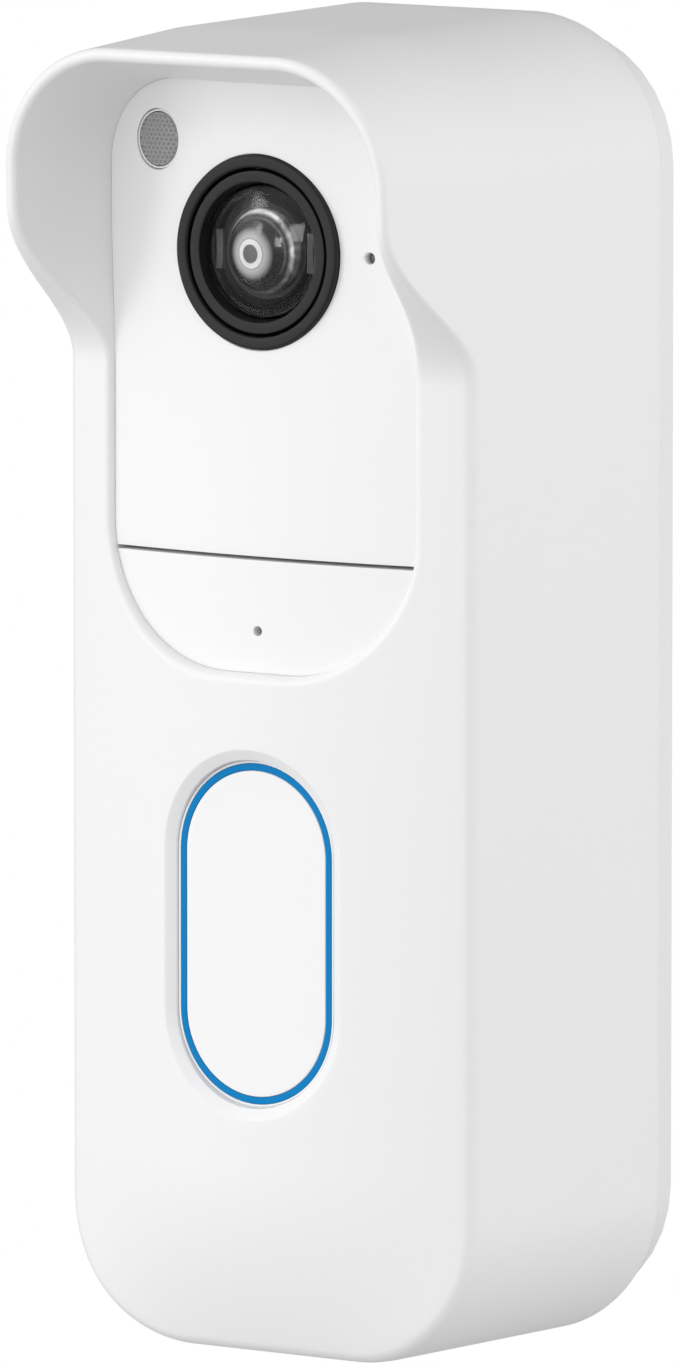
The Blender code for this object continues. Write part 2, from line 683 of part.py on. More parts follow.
def make_housing(finish):
    """Deep front shell with screw bosses and openings for what shows in front."""
    housing = prism("front_housing", unit_outline(), HOUSING_REAR, HOUSING_FRONT, finish)
    hollow = unit_outline(HOUSING_WALL)
    cut(housing, prism("hollow", hollow, HOUSING_REAR - MM, HOUSING_INNER_FRONT, finish))
    for place in boss_places():
        boss = prism("boss", circle(BOSS_RADIUS, place, 16), HOUSING_REAR,
                     HOUSING_INNER_FRONT + HOUSING_WALL / 2, finish)
        fuse(housing, boss)
    for place in boss_places():
        pilot = circle(SCREW_RADIUS + GAP, place, 12)
        depth = COVER_REAR + SCREW_LENGTH + 2 * MM
        cut(housing, prism("pilot", pilot, HOUSING_REAR - MM, depth, finish))
    through = (HOUSING_INNER_FRONT - MM, HOUSING_FRONT + MM)
    holes = [circle(BEZEL_RADIUS - BEZEL_LAND, (0.0, LENS_HEIGHT), 32),
             circle(MOTION_RADIUS, (MOTION_X, MOTION_HEIGHT), 20),
             circle(LIGHT_RADIUS + GAP, (LIGHT_X, LENS_HEIGHT), 12),
             circle(gasket_radius() + GAP, (0.0, MICROPHONE_HEIGHT), 16),
             pill(BUTTON_WIDTH + 2 * GAP, BUTTON_LENGTH + 2 * GAP, (0.0, BUTTON_HEIGHT))]
    for hole in holes:
        cut(housing, prism("front_hole", hole, *through, finish))
    _, half_height, _ = unit_sizes()
    for x in speaker_slots():
        cut(housing, block("slot_cutter", (x - SLOT_HALF, x + SLOT_HALF), SLOT_DEPTHS,
                           (-half_height - MM, -half_height + HOUSING_WALL + MM), finish))
    return housing


def gasket_radius():
    return 3 * MICROPHONE_RADIUS


def crowned_block(name, top, finish):
    """Everything behind a face of the given height that is crowned across X."""
    half = OPENING_WIDTH / 2 + MM
    back = FACE_BACK - 10 * MM
    x = np.linspace(-half, half, 21)
    depth = top - FACE_CROWN * (x / (OPENING_WIDTH / 2)) ** 2
    section = [(px, -d) for px, d in zip(x, depth)]
    section += [(half, -back), (-half, -back)]
    rings = [[(px, py, z) for px, py in section] for z in (OPENING_BOTTOM - MM, OPENING_TOP + MM)]
    return loft(name, rings, finish)


def face_plate(name, heights, finish):
    """Cap filling the sleeve's opening between two heights, hollow behind."""
    outline = opening_ring(OPENING_ROLL + GAP)
    plate = prism(name, outline, FACE_BACK, CROWN_TOP + MM, finish)
    combine(plate, crowned_block("crown", FACE_TOP, finish), "INTERSECT")
    side = OPENING_WIDTH
    band = block("band", (-side, side), (0.0, 2 * CROWN_TOP), heights, finish)
    combine(plate, band, "INTERSECT")
    pocket = prism("pocket", opening_ring(OPENING_ROLL + GAP + FACE_SKIRT),
                   FACE_BACK - MM, CROWN_TOP + MM, finish)
    combine(pocket, crowned_block("skin", FACE_TOP - FACE_SKIN, finish), "INTERSECT")
    inner = (heights[0] + FACE_SKIRT, heights[1] - FACE_SKIRT)
    band = block("band", (-side, side), (0.0, 2 * CROWN_TOP), inner, finish)
    combine(pocket, band, "INTERSECT")
    cut(plate, pocket)
    return plate


def make_face_plates(finish):
    """Camera plate above the seam and microphone plate below it."""
    half_seam = SEAM_WIDTH / 2
    upper = face_plate("upper_face_plate", (SEAM_HEIGHT + half_seam, OPENING_TOP), finish)
    lower = face_plate("lower_face_plate", (OPENING_BOTTOM, SEAM_HEIGHT - half_seam), finish)
    through = (FACE_BACK - MM, CROWN_TOP + MM)
    for radius, centre, steps in ((BEZEL_RADIUS + GAP, (0.0, LENS_HEIGHT), 48),
                                  (MOTION_RADIUS, (MOTION_X, MOTION_HEIGHT), 24),
                                  (LIGHT_RADIUS, (LIGHT_X, LENS_HEIGHT), 12)):
        cut(upper, prism("face_hole", circle(radius, centre, steps), *through, finish))
    hole = circle(MICROPHONE_RADIUS, (0.0, MICROPHONE_HEIGHT), 12)
    cut(lower, prism("microphone_hole", hole, *through, finish))


# ---------------------------------------------------------------- camera

def make_camera(black, glass, board, silicon, dark_glass):
    """Black stepped rings, domed window and the lens stack behind it."""
    centre = (0.0, LENS_HEIGHT)
    turned_ring("camera_bezel", [(BEZEL_RADIUS, FACE_BACK), (BEZEL_RADIUS, BEZEL_FRONT - GAP),
                                 (BEZEL_RADIUS - GAP, BEZEL_FRONT), (BEZEL_INNER, BEZEL_FRONT),
                                 (BEZEL_INNER, FACE_BACK)], centre, black)
    retainer_outer = BEZEL_INNER - GAP
    retainer_front = BEZEL_FRONT - RETAINER_SUNK
    turned_ring("lens_retainer", [(retainer_outer, FACE_BACK), (retainer_outer, retainer_front),
                                  (RETAINER_INNER, retainer_front),
                                  (RETAINER_INNER, FACE_BACK)], centre, black)
    rim = FACE_TOP - WINDOW_SUNK
    window_back = rim - WINDOW_THICKNESS
    shares = np.linspace(0.97, 0, 6)[:-1]
    dome = [(WINDOW_RADIUS * share, rim + WINDOW_RISE * math.sqrt(1 - share ** 2))
            for share in shares]
    turned("camera_window", [(WINDOW_RADIUS, window_back), (WINDOW_RADIUS, rim)] + dome,
           centre, glass)
    board_back = BOARD_FRONT + GAP
    board_front = board_back + CAMERA_BOARD_THICKNESS
    half = CAMERA_BOARD_WIDTH / 2
    prism("camera_board", rounded(half, half, MM, 3, centre), board_back, board_front, board)
    sensor_front = board_front + GAP + SENSOR_THICKNESS
    block("image_sensor", (-SENSOR_HALF_WIDTH, SENSOR_HALF_WIDTH), (board_front + GAP, sensor_front),
          (LENS_HEIGHT - SENSOR_HALF_HEIGHT, LENS_HEIGHT + SENSOR_HALF_HEIGHT), silicon)
    barrel_back = sensor_front + GAP
    barrel_front = window_back - GAP
    bore = BARREL_RADIUS - BARREL_WALL
    turned_ring("lens_barrel", [(BARREL_RADIUS, barrel_back), (BARREL_RADIUS, barrel_front),
                                (bore, barrel_front), (bore, barrel_back)], centre, black, 32)
    lens = bore - GAP
    turned("front_lens", [(lens, barrel_front - 3.0 * MM), (lens, barrel_front - 1.2 * MM),
                          (lens * 0.7, barrel_front - 0.6 * MM),
                          (lens * 0.3, barrel_front - 0.35 * MM)], centre, dark_glass, 24)
    turned("rear_lens", [(lens * 0.4, barrel_back + 1.2 * MM), (lens, barrel_back + 1.8 * MM),
                         (lens, barrel_back + 2.8 * MM)], centre, dark_glass, 24)
    for side, sign in (("left", -1), ("right", 1)):
        middle = sign * (BARREL_RADIUS + LED_SPACE + LED_WIDTH / 2)
        block(f"infrared_led_{side}", (middle - LED_WIDTH / 2, middle + LED_WIDTH / 2),
              (barrel_front - 2.5 * MM, barrel_front - 0.4 * MM),
              (LENS_HEIGHT - LED_HEIGHT / 2, LENS_HEIGHT + LED_HEIGHT / 2), dark_glass)


def make_sensors(grey, rubber, metal, clear):
    """Motion sensor, status light pipe and microphone."""
    centre = (MOTION_X, MOTION_HEIGHT)
    surface = FACE_TOP - FACE_CROWN * (MOTION_X / (OPENING_WIDTH / 2)) ** 2
    front = surface - MOTION_RECESS
    lens = MOTION_RADIUS - GAP
    turned("motion_sensor_lens", [(lens, front - 1.2 * MM), (lens, front - 0.3 * MM),
                                  (lens * 0.6, front), (lens * 0.2, front + 0.1 * MM)],
           centre, grey, 24)
    turned("motion_sensor", [(MOTION_CAN_RADIUS, BOARD_FRONT + GAP),
                             (MOTION_CAN_RADIUS, FACE_BACK - 1.5 * MM)], centre, metal, 20)
    pipe = LIGHT_RADIUS - PIN_SPACE
    surface = FACE_TOP - FACE_CROWN * (LIGHT_X / (OPENING_WIDTH / 2)) ** 2
    turned("status_light_pipe", [(pipe, BOARD_FRONT + GAP), (pipe, surface - LIGHT_RECESS)],
           (LIGHT_X, LENS_HEIGHT), clear, 12)
    centre = (0.0, MICROPHONE_HEIGHT)
    width, thickness, height = MICROPHONE_CAN
    near = BOARD_FRONT + GAP
    block("microphone", (-width / 2, width / 2), (near, near + thickness),
          (MICROPHONE_HEIGHT - height / 2, MICROPHONE_HEIGHT + height / 2), metal)
    bore = MICROPHONE_RADIUS + PIN_SPACE
    back = near + thickness + GAP
    turned_ring("microphone_gasket", [(gasket_radius(), back),
                                      (gasket_radius(), FACE_TOP - FACE_SKIN - GAP),
                                      (bore, FACE_TOP - FACE_SKIN - GAP), (bore, back)],
                centre, rubber, 16)


# ---------------------------------------------------------------- call button

def make_button(white, blue, rubber, black, metal):
    """Pill button, its light ring and frame, the seal and the switch behind it."""
    centre = (0.0, BUTTON_HEIGHT)
    sizes = ring_outer()
    tube("light_ring", pill(*sizes, centre),
         pill(sizes[0] - 2 * RING_WIDTH, sizes[1] - 2 * RING_WIDTH, centre),
         FACE_BACK, BUTTON_FRONT, blue)
    sizes = frame_outer()
    tube("button_frame", pill(*sizes, centre),
         pill(sizes[0] - 2 * FRAME_WIDTH, sizes[1] - 2 * FRAME_WIDTH, centre),
         FACE_BACK, BUTTON_FRONT - 0.1 * MM, white)
    button = prism("call_button", pill(BUTTON_WIDTH, BUTTON_LENGTH, centre),
                   FLANGE_FRONT - 0.5 * MM, BUTTON_FRONT, white)
    flange = pill(BUTTON_WIDTH + 2 * FLANGE_OVERLAP, BUTTON_LENGTH + 2 * FLANGE_OVERLAP, centre)
    fuse(button, prism("flange", flange, FLANGE_BACK, FLANGE_FRONT, white))
    switch_front = BOARD_FRONT + GAP + SWITCH_HEIGHT
    plunger_front = switch_front + PLUNGER_PROUD
    post = prism("post", circle(POST_RADIUS, centre, 16), plunger_front + GAP,
                 FLANGE_BACK + 0.5 * MM, white)
    fuse(button, post)
    set_origin(button, (0.0, -BUTTON_FRONT, BUTTON_HEIGHT))
    seal_front = FLANGE_BACK - BUTTON_TRAVEL - GAP
    outline = pill(BUTTON_WIDTH + 2 * SEAL_OVERLAP, BUTTON_LENGTH + 2 * SEAL_OVERLAP, centre)
    seal = prism("button_seal", outline, seal_front - SEAL_THICKNESS, seal_front, rubber)
    cut(seal, prism("seal_hole", circle(POST_RADIUS + GAP, centre, 16),
                    seal_front - 2 * MM, seal_front + MM, rubber))
    half = SWITCH_SIDE / 2
    switch = block("tact_switch", (-half, half), (BOARD_FRONT + GAP, switch_front),
                   (BUTTON_HEIGHT - half, BUTTON_HEIGHT + half), black)
    well = switch_front - BUTTON_TRAVEL - PLUNGER_PROUD
    cut(switch, prism("well", circle(PLUNGER_RADIUS + GAP, centre, 16), well,
                      switch_front + MM, black))
    plunger = prism("switch_plunger", circle(PLUNGER_RADIUS, centre, 16),
                    well + BUTTON_TRAVEL + PIN_SPACE, plunger_front, metal)
    set_origin(plunger, (0.0, -plunger_front, BUTTON_HEIGHT))


# ---------------------------------------------------------------- inside

def make_electronics(board, metal, black, gold, led):
    """Main board with its shield, antenna and ring lamps, and the speaker."""
    half_width, half_height, corner = unit_sizes(HOUSING_WALL + 1.2 * MM)
    outline = rounded(half_width, half_height - MM, corner)
    main = prism("main_board", outline, BOARD_DEPTH, BOARD_FRONT, board)
    for place in boss_places():
        notch = circle(BOSS_RADIUS + GAP, place, 16)
        cut(main, prism("notch", notch, BOARD_DEPTH - MM, BOARD_FRONT + MM, board))
    near = BOARD_FRONT + GAP
    block("processor_shield", (-SHIELD_HALF_WIDTH, SHIELD_HALF_WIDTH),
          (near, near + SHIELD_THICKNESS), SHIELD_HEIGHTS, metal)
    block("wifi_antenna", ANTENNA_X, (near, near + CHIP_THICKNESS), ANTENNA_HEIGHTS, gold)
    width, height = RING_LED
    for number, sign in ((1, 1), (2, -1)):
        z = BUTTON_HEIGHT + sign * (BUTTON_LENGTH / 2 + GAP + RING_WIDTH / 2)
        block(f"ring_led_{number}", (-width / 2, width / 2), (near, near + CHIP_THICKNESS),
              (z - height / 2, z + height / 2), led)
    _, half_height, _ = unit_sizes(HOUSING_WALL)
    mesh_low = -half_height + GAP
    mesh_high = mesh_low + SPEAKER_MESH_THICKNESS
    sides = (-SPEAKER_HALF_WIDTH, SPEAKER_HALF_WIDTH)
    depths = (SLOT_DEPTHS[0] - MM, SLOT_DEPTHS[1] + MM)
    block("speaker_mesh", sides, depths, (mesh_low, mesh_high), black)
    block("speaker", sides, depths, (mesh_high + GAP, mesh_high + GAP + SPEAKER_THICKNESS), metal)


def make_batteries(plastic, wrap, steel):
    """Three round cells side by side in a tray, each with a spring and a contact."""
    low = BATTERY_BOTTOM
    high = low + BATTERY_LENGTH
    room = CONTACT_LENGTH + 2 * GAP
    depth = battery_depth()
    half = battery_places()[-1][0] + BATTERY_RADIUS
    floor = depth + BATTERY_RADIUS + GAP
    near = depth - BATTERY_RADIUS + BATTERY_SPACE
    tray = block("battery_tray", (-half, half), (near, floor + TRAY_WALL),
                 (low - room - TRAY_WALL, high + room + TRAY_WALL), plastic)
    cut(tray, block("tray_hollow", (-half - MM, half + MM), (near - MM, floor),
                    (low - room, high + room), plastic))
    nub_radius, nub = BATTERY_NUB
    for number, (x, way) in enumerate(battery_places(), 1):
        base, tip = (low, high) if way > 0 else (high, low)
        end_radius = BATTERY_RADIUS - BATTERY_EDGE
        profile = [(end_radius, base), (BATTERY_RADIUS, base + way * BATTERY_EDGE),
                   (BATTERY_RADIUS, tip - way * (nub + BATTERY_EDGE)), (end_radius, tip - way * nub),
                   (nub_radius, tip - way * nub), (nub_radius, tip)]
        upright(f"battery_{number}", profile, x, depth, wrap)
        ends = sorted((base - way * GAP, base - way * (GAP + CONTACT_LENGTH)))
        coil(f"battery_spring_{number}", x, depth, ends, 3.0 * MM, 0.35 * MM, 3, steel)
        first = tip + way * GAP
        head = first + way * (CONTACT_LENGTH - CONTACT_HEAD)
        profile = [(CONTACT_STEM_RADIUS, first), (CONTACT_STEM_RADIUS, head),
                   (CONTACT_RADIUS, head), (CONTACT_RADIUS, first + way * CONTACT_LENGTH)]
        upright(f"battery_contact_{number}", profile, x, depth, steel, 16)


def main():
    for obj in list(bpy.data.objects):
        bpy.data.objects.remove(obj, do_unlink=True)
    silicone = material("white_silicone", (0.86, 0.86, 0.86), 0.55)
    shell = material("white_shell", (0.84, 0.84, 0.84), 0.4)
    face = material("white_face", (0.88, 0.88, 0.88), 0.35)
    plate = material("white_plate", (0.8, 0.8, 0.8), 0.5)
    black = material("black_plastic", (0.025, 0.025, 0.025), 0.35)
    glass = material("clear_glass", (0.9, 0.92, 0.95), 0.05, transmission=0.9)
    dark_glass = material("coated_glass", (0.05, 0.05, 0.07), 0.08)
    grey = material("grey_lens", (0.3, 0.3, 0.3), 0.5)
    clear = material("grey_light_pipe", (0.35, 0.35, 0.35), 0.3)
    blue = material("blue_light", (0.005, 0.24, 0.58), 0.4)
    rubber = material("black_rubber", (0.03, 0.03, 0.03), 0.8)
    board = material("green_board", (0.02, 0.16, 0.06), 0.5)
    metal = material("tinned_steel", (0.6, 0.6, 0.58), 0.35, 1.0)
    steel = material("plated_steel", (0.65, 0.65, 0.63), 0.3, 1.0)
    brass = material("brass", (0.7, 0.5, 0.2), 0.35, 1.0)
    silicon = material("sensor_silicon", (0.05, 0.06, 0.1), 0.2)
    led = material("led_body", (0.9, 0.85, 0.6), 0.4)
    wrap = material("battery_wrap", (0.12, 0.13, 0.15), 0.35)
    tray = material("grey_plastic", (0.25, 0.25, 0.26), 0.5)

    make_mounting_plate(plate)
    make_latch(tray)
    coil("latch_spring", 0.0, latch_middle(), (latch_top() + GAP, spring_top() - GAP),
         0.75 * MM, 0.2 * MM, 5, steel)
    make_back_cover(shell)
    make_screws(steel, brass)
    make_gasket(rubber)
    make_housing(shell)
    make_sleeve(silicone)
    make_face_plates(face)
    make_camera(black, glass, board, silicon, dark_glass)
    make_sensors(grey, rubber, metal, clear)
    make_button(face, blue, rubber, black, metal)
    make_electronics(board, metal, black, brass, led)
    make_batteries(tray, wrap, steel)


main()
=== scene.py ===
# %% [markdown]
# # A video doorbell in a silicone sleeve
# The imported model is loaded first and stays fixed: every piece below takes its place
# from it. The sizes of the outside are read from the boxes of its nodes, and only the
# finer curves within them are set here. A depth is the distance forward from the wall,
# so a point at depth d has Y = -d, as the wall is the plane Y = 0.

# %% Load the frame
import math

import bmesh
import bpy
import numpy as np
from mathutils import Matrix, Vector


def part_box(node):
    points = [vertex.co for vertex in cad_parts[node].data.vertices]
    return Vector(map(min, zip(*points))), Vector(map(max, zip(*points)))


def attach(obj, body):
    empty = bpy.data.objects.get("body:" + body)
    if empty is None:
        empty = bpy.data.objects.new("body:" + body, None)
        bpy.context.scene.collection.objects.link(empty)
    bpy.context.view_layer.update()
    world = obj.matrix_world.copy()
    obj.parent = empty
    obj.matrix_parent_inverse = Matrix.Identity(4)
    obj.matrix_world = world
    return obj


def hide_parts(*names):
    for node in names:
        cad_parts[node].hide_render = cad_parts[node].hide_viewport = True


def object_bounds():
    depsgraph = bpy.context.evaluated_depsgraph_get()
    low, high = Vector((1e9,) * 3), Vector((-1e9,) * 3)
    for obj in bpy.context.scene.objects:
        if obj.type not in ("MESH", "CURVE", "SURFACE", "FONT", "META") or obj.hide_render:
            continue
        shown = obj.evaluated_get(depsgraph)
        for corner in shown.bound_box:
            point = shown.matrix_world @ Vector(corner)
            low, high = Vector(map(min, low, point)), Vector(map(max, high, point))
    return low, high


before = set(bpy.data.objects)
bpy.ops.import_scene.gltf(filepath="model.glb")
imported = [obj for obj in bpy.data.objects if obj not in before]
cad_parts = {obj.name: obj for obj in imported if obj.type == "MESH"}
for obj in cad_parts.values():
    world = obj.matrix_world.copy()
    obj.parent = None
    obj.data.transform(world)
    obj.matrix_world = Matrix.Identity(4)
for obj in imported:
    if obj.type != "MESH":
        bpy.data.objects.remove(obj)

cad_box = [list(corner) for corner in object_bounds()]
MM = 0.001
print("CAD box in mm:", np.round(np.array(cad_box) / MM, 1).tolist())

# %% [markdown]
# ## Drawing with arrays
# A moulded shell is an outline carried along a profile. The outline is a closed loop in
# X and Z, and the profile says how far in and how far forward the loop moves at each
# step. Both are arrays, so a whole surface is one broadcast and no loop visits a vertex.
# Sharp corners of a profile are replaced with small arcs, because the light that runs
# along a rounded edge is what makes a moulding look real.


# %% Outlines and profiles
def arc(centre, radius, start, end, steps):
    """Points at centre + radius * (cos a, sin a) for a from start to end, in degrees."""
    angle = np.radians(np.linspace(start, end, steps + 1))
    return np.array(centre) + radius * np.column_stack([np.cos(angle), np.sin(angle)])


def eased(corners, radii, steps=6):
    """A polyline with arcs at its corners.

    At a corner the arc leaves each side radius * tan(half the turn) away from it, and its
    points are a blend of the two sides weighted so that they lie on the circle.
    """
    corners = np.array(corners, float)
    path = [corners[:1]]
    for before, corner, after, radius in zip(corners, corners[1:], corners[2:], radii):
        into = (corner - before) / np.linalg.norm(corner - before)
        out = (after - corner) / np.linalg.norm(after - corner)
        turn = math.acos(float(np.clip(into @ out, -1, 1)))
        if radius <= 0 or turn < 0.02:
            path.append(corner[None])
            continue
        reach = radius * math.tan(turn / 2)
        middle = corner + (out - into) / np.linalg.norm(out - into) * radius / math.cos(turn / 2)
        start = corner - into * reach - middle
        angle = np.linspace(0, turn, steps + 1)[:, None]
        sideways = into * radius
        path.append(middle + start * np.cos(angle) + sideways * np.sin(angle))
    path.append(corners[-1:])
    return np.vstack(path)


def pill_outline(width, length, height, inset=0.0, steps=48):
    """Upright slot: two half circles joined by straight sides, centred at a height."""
    radius = width / 2 - inset
    top = length / 2 - width / 2
    side = np.linspace(top, -top, 25)[1:-1]
    right = np.column_stack([np.full(len(side), radius), side])
    upper = arc((0, top), max(radius, 0), 180, 0, steps)
    lower = arc((0, -top), max(radius, 0), 0, -180, steps)
    loop = np.vstack([upper, right, lower, -right])
    return loop + np.array([0.0, height])


def rounded_outline(half_width, low, high, corner, inset=0.0, steps=20):
    """Rounded rectangle from low to high, moved in by an inset, clockwise from the top."""
    x = half_width - corner
    radius = corner - inset
    parts = [arc((x, high - corner), radius, 90, 0, steps), arc((x, low + corner), radius, 0, -90, steps),
             arc((-x, low + corner), radius, -90, -180, steps),
             arc((-x, high - corner), radius, 180, 90, steps)]
    return np.vstack(parts)


def at_depth(loop, depth):
    """Stand an (x, z) loop at a depth, which may differ from point to point."""
    depth = np.broadcast_to(depth, len(loop))
    return np.column_stack([loop[:, 0], -depth, loop[:, 1]])


print("a corner eased with 6 steps has", len(eased([(0, 0), (1, 0), (1, 1)], [0.2])), "points")


# %% [markdown]
# ## From arrays to meshes
# A grid of points becomes quads by index arithmetic: each quad joins a point with its
# neighbours along the row and in the next row. Pieces of surface that share a border are
# welded by distance afterwards, the normals are turned outwards on the closed shell, and
# only real corners stay sharp.


# %% Grids and solids
def grid(rows, wrap=True):
    """Points and quads of a (rows, columns, 3) array; wrap joins last column to first."""
    rows = np.asarray(rows, float)
    high, wide, _ = rows.shape
    index = np.arange(high * wide).reshape(high, wide)
    right = np.roll(index, -1, axis=1)
    if not wrap:
        index, right = index[:, :-1], right[:, :-1]
    quads = np.stack([index[:-1], right[:-1], right[1:], index[1:]], axis=-1)
    return rows.reshape(-1, 3), quads.reshape(-1, 4)


def fan(loop, depth_at, steps=14):
    """Rows that shrink a loop to its middle, with the depth given for each (x, z)."""
    flat = loop[:, [0, 2]]
    middle = flat.mean(axis=0)
    share = np.linspace(0, 1, steps + 1)[:, None, None]
    plane = flat * (1 - share) + middle * share
    depth = depth_at(plane[..., 0], plane[..., 1])
    return np.stack([plane[..., 0], -depth, plane[..., 1]], axis=-1)


def solid(name, patches, finish, sharp=38.0, weld=1e-7):
    """One welded, outward-facing mesh from (points, quads) patches."""
    sizes = np.cumsum([0] + [len(points) for points, _ in patches])
    points = np.vstack([points for points, _ in patches])
    quads = np.vstack([quads + start for (_, quads), start in zip(patches, sizes)])
    mesh = bpy.data.meshes.new(name)
    mesh.from_pydata(points.tolist(), [], quads.tolist())
    shape = bmesh.new()
    shape.from_mesh(mesh)
    bmesh.ops.remove_doubles(shape, verts=shape.verts, dist=weld)
    bmesh.ops.dissolve_degenerate(shape, edges=shape.edges, dist=weld)
    bmesh.ops.recalc_face_normals(shape, faces=shape.faces)
    shape.to_mesh(mesh)
    shape.free()
    mesh.shade_smooth()
    mesh.set_sharp_from_angle(angle=math.radians(sharp))
    piece = bpy.data.objects.new(name, mesh)
    bpy.context.scene.collection.objects.link(piece)
    mesh.materials.append(finish)
    return piece


def carve(piece, cutters, sharp=38.0):
    """Cut solids out of a piece with one EXACT boolean each, applied at once."""
    finish = piece.data.materials[0]
    for cutter in cutters:
        step = piece.modifiers.new("cut", "BOOLEAN")
        step.object = cutter
        step.operation = "DIFFERENCE"
        step.solver = "EXACT"
        graph = bpy.context.evaluated_depsgraph_get()
        mesh = bpy.data.meshes.new_from_object(piece.evaluated_get(graph))
        piece.modifiers.clear()
        piece.data = mesh
        bpy.data.objects.remove(cutter)
    piece.data.materials.clear()
    piece.data.materials.append(finish)
    piece.data.set_sharp_from_angle(angle=math.radians(sharp))


def turned(name, corners, radii, centre, finish, steps=128, closed=False, sharp=38.0):
    """Surface of revolution about an axis along Y through (x, z).

    corners are (radius, depth) pairs eased into a profile P(t); the point at angle a is
    centre + P_radius(t) * (cos a, sin a) at depth P_depth(t).
    """
    profile = eased(corners, radii)
    angle = np.linspace(0, 2 * math.pi, steps, endpoint=False)
    x = centre[0] + profile[:, :1] * np.cos(angle)
    z = centre[1] + profile[:, :1] * np.sin(angle)
    y = np.broadcast_to(-profile[:, 1:2], x.shape)
    rows = np.stack([x, y, z], axis=-1)
    if closed:
        rows = np.concatenate([rows, rows[:1]])
    return solid(name, [grid(rows)], finish, sharp)


def box_of(node):
    """Lowest and highest corner of a CAD node, as two arrays."""
    low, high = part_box(node)
    return np.array(low), np.array(high)


def centre_of(node):
    """Middle of a CAD node's box in X and Z."""
    low, high = box_of(node)
    return (low[0] + high[0]) / 2, (low[2] + high[2]) / 2


def place(piece, body, slot, *nodes):
    """Ride on a body and stand for CAD nodes, in one call; the slot is not used."""
    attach(piece, body)
    if nodes:
        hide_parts(*nodes)
    return piece


print("grid of 3 by 4 points:", len(grid(np.zeros((3, 4, 3)))[1]), "quads")

# %% [markdown]
# ## Finishes
# White mouldings are never one flat white. Their tone drifts slightly over a few
# centimetres, and a fine spark texture from the mould breaks up the reflections. One
# node group makes both from noise on the object's own coordinates, so every plastic
# piece can use it with its own scale.


# %% A grain that all mouldings share
def fill(node, values):
    """Set a node's inputs from {socket: value}."""
    for socket, value in values.items():
        node.inputs[socket].default_value = value


def added(nodes, kind, values=None, **settings):
    """New node of a kind: its settings first, then its inputs."""
    made = nodes.new(kind)
    for setting, value in settings.items():
        setattr(made, setting, value)
    fill(made, values or {})
    return made


def wire(links, *joins):
    """Link sockets. A join is (node, output, next node, input)."""
    for source, output, drain, entry in joins:
        links.new(source.outputs[output], drain.inputs[entry])


def new_finish(name):
    """Empty material, with its nodes, its links and its shader."""
    made = bpy.data.materials.new(name)
    made.use_nodes = True
    nodes, links = made.node_tree.nodes, made.node_tree.links
    return made, nodes, links, nodes["Principled BSDF"]


def make_grain_group():
    """Group 'Moulded grain': Scale in grains per metre -> Height, Drift and Speckle."""
    group = bpy.data.node_groups.new("Moulded grain", "ShaderNodeTree")
    for way, sockets in (("INPUT", ("Scale", "Drift scale")), ("OUTPUT", ("Height", "Drift", "Speckle"))):
        for socket in sockets:
            group.interface.new_socket(socket, in_out=way, socket_type="NodeSocketFloat")
    nodes, links = group.nodes, group.links
    entry = nodes.new("NodeGroupInput")
    leave = nodes.new("NodeGroupOutput")
    where = nodes.new("ShaderNodeTexCoord")
    fine = added(nodes, "ShaderNodeTexNoise", {"Detail": 3.0, "Roughness": 0.6})
    wide = added(nodes, "ShaderNodeTexNoise", {"Detail": 2.0})
    dots = nodes.new("ShaderNodeTexVoronoi")
    for texture, socket in ((fine, "Scale"), (wide, "Drift scale"), (dots, "Scale")):
        wire(links, (where, "Object", texture, "Vector"), (entry, socket, texture, "Scale"))
    wire(links, (fine, "Fac", leave, "Height"), (wide, "Fac", leave, "Drift"),
         (dots, "Distance", leave, "Speckle"))
    return group


GRAIN = make_grain_group()
DRIFT_SCALE = 28.0                   # a few centimetres from tone to tone
GRAIN_DEPTH = 0.06 * MM


def moulded(name, colour, roughness, grain=2600.0, bump=0.04, drift=0.03, **plain):
    """Plastic, rubber or silicone: drifting tone, fine bump and slightly uneven gloss."""
    made, nodes, links, shader = new_finish(name)
    fill(shader, {socket.replace("_", " "): value for socket, value in plain.items()})
    group = added(nodes, "ShaderNodeGroup", {"Scale": grain, "Drift scale": DRIFT_SCALE}, node_tree=GRAIN)
    dark = (*[c * (1 - drift) for c in colour], 1)
    light = (*[min(c * (1 + drift), 1) for c in colour], 1)
    tone = added(nodes, "ShaderNodeMix", {"A": dark, "B": light}, data_type="RGBA")
    gloss = added(nodes, "ShaderNodeMapRange", {"To Min": max(roughness - 0.06, 0),
                                                "To Max": min(roughness + 0.06, 1)})
    relief = added(nodes, "ShaderNodeBump", {"Strength": bump, "Distance": GRAIN_DEPTH})
    wire(links, (group, "Drift", tone, "Factor"), (tone, "Result", shader, "Base Color"),
         (group, "Speckle", gloss, "Value"), (gloss, "Result", shader, "Roughness"),
         (group, "Height", relief, "Height"), (relief, "Normal", shader, "Normal"))
    return made


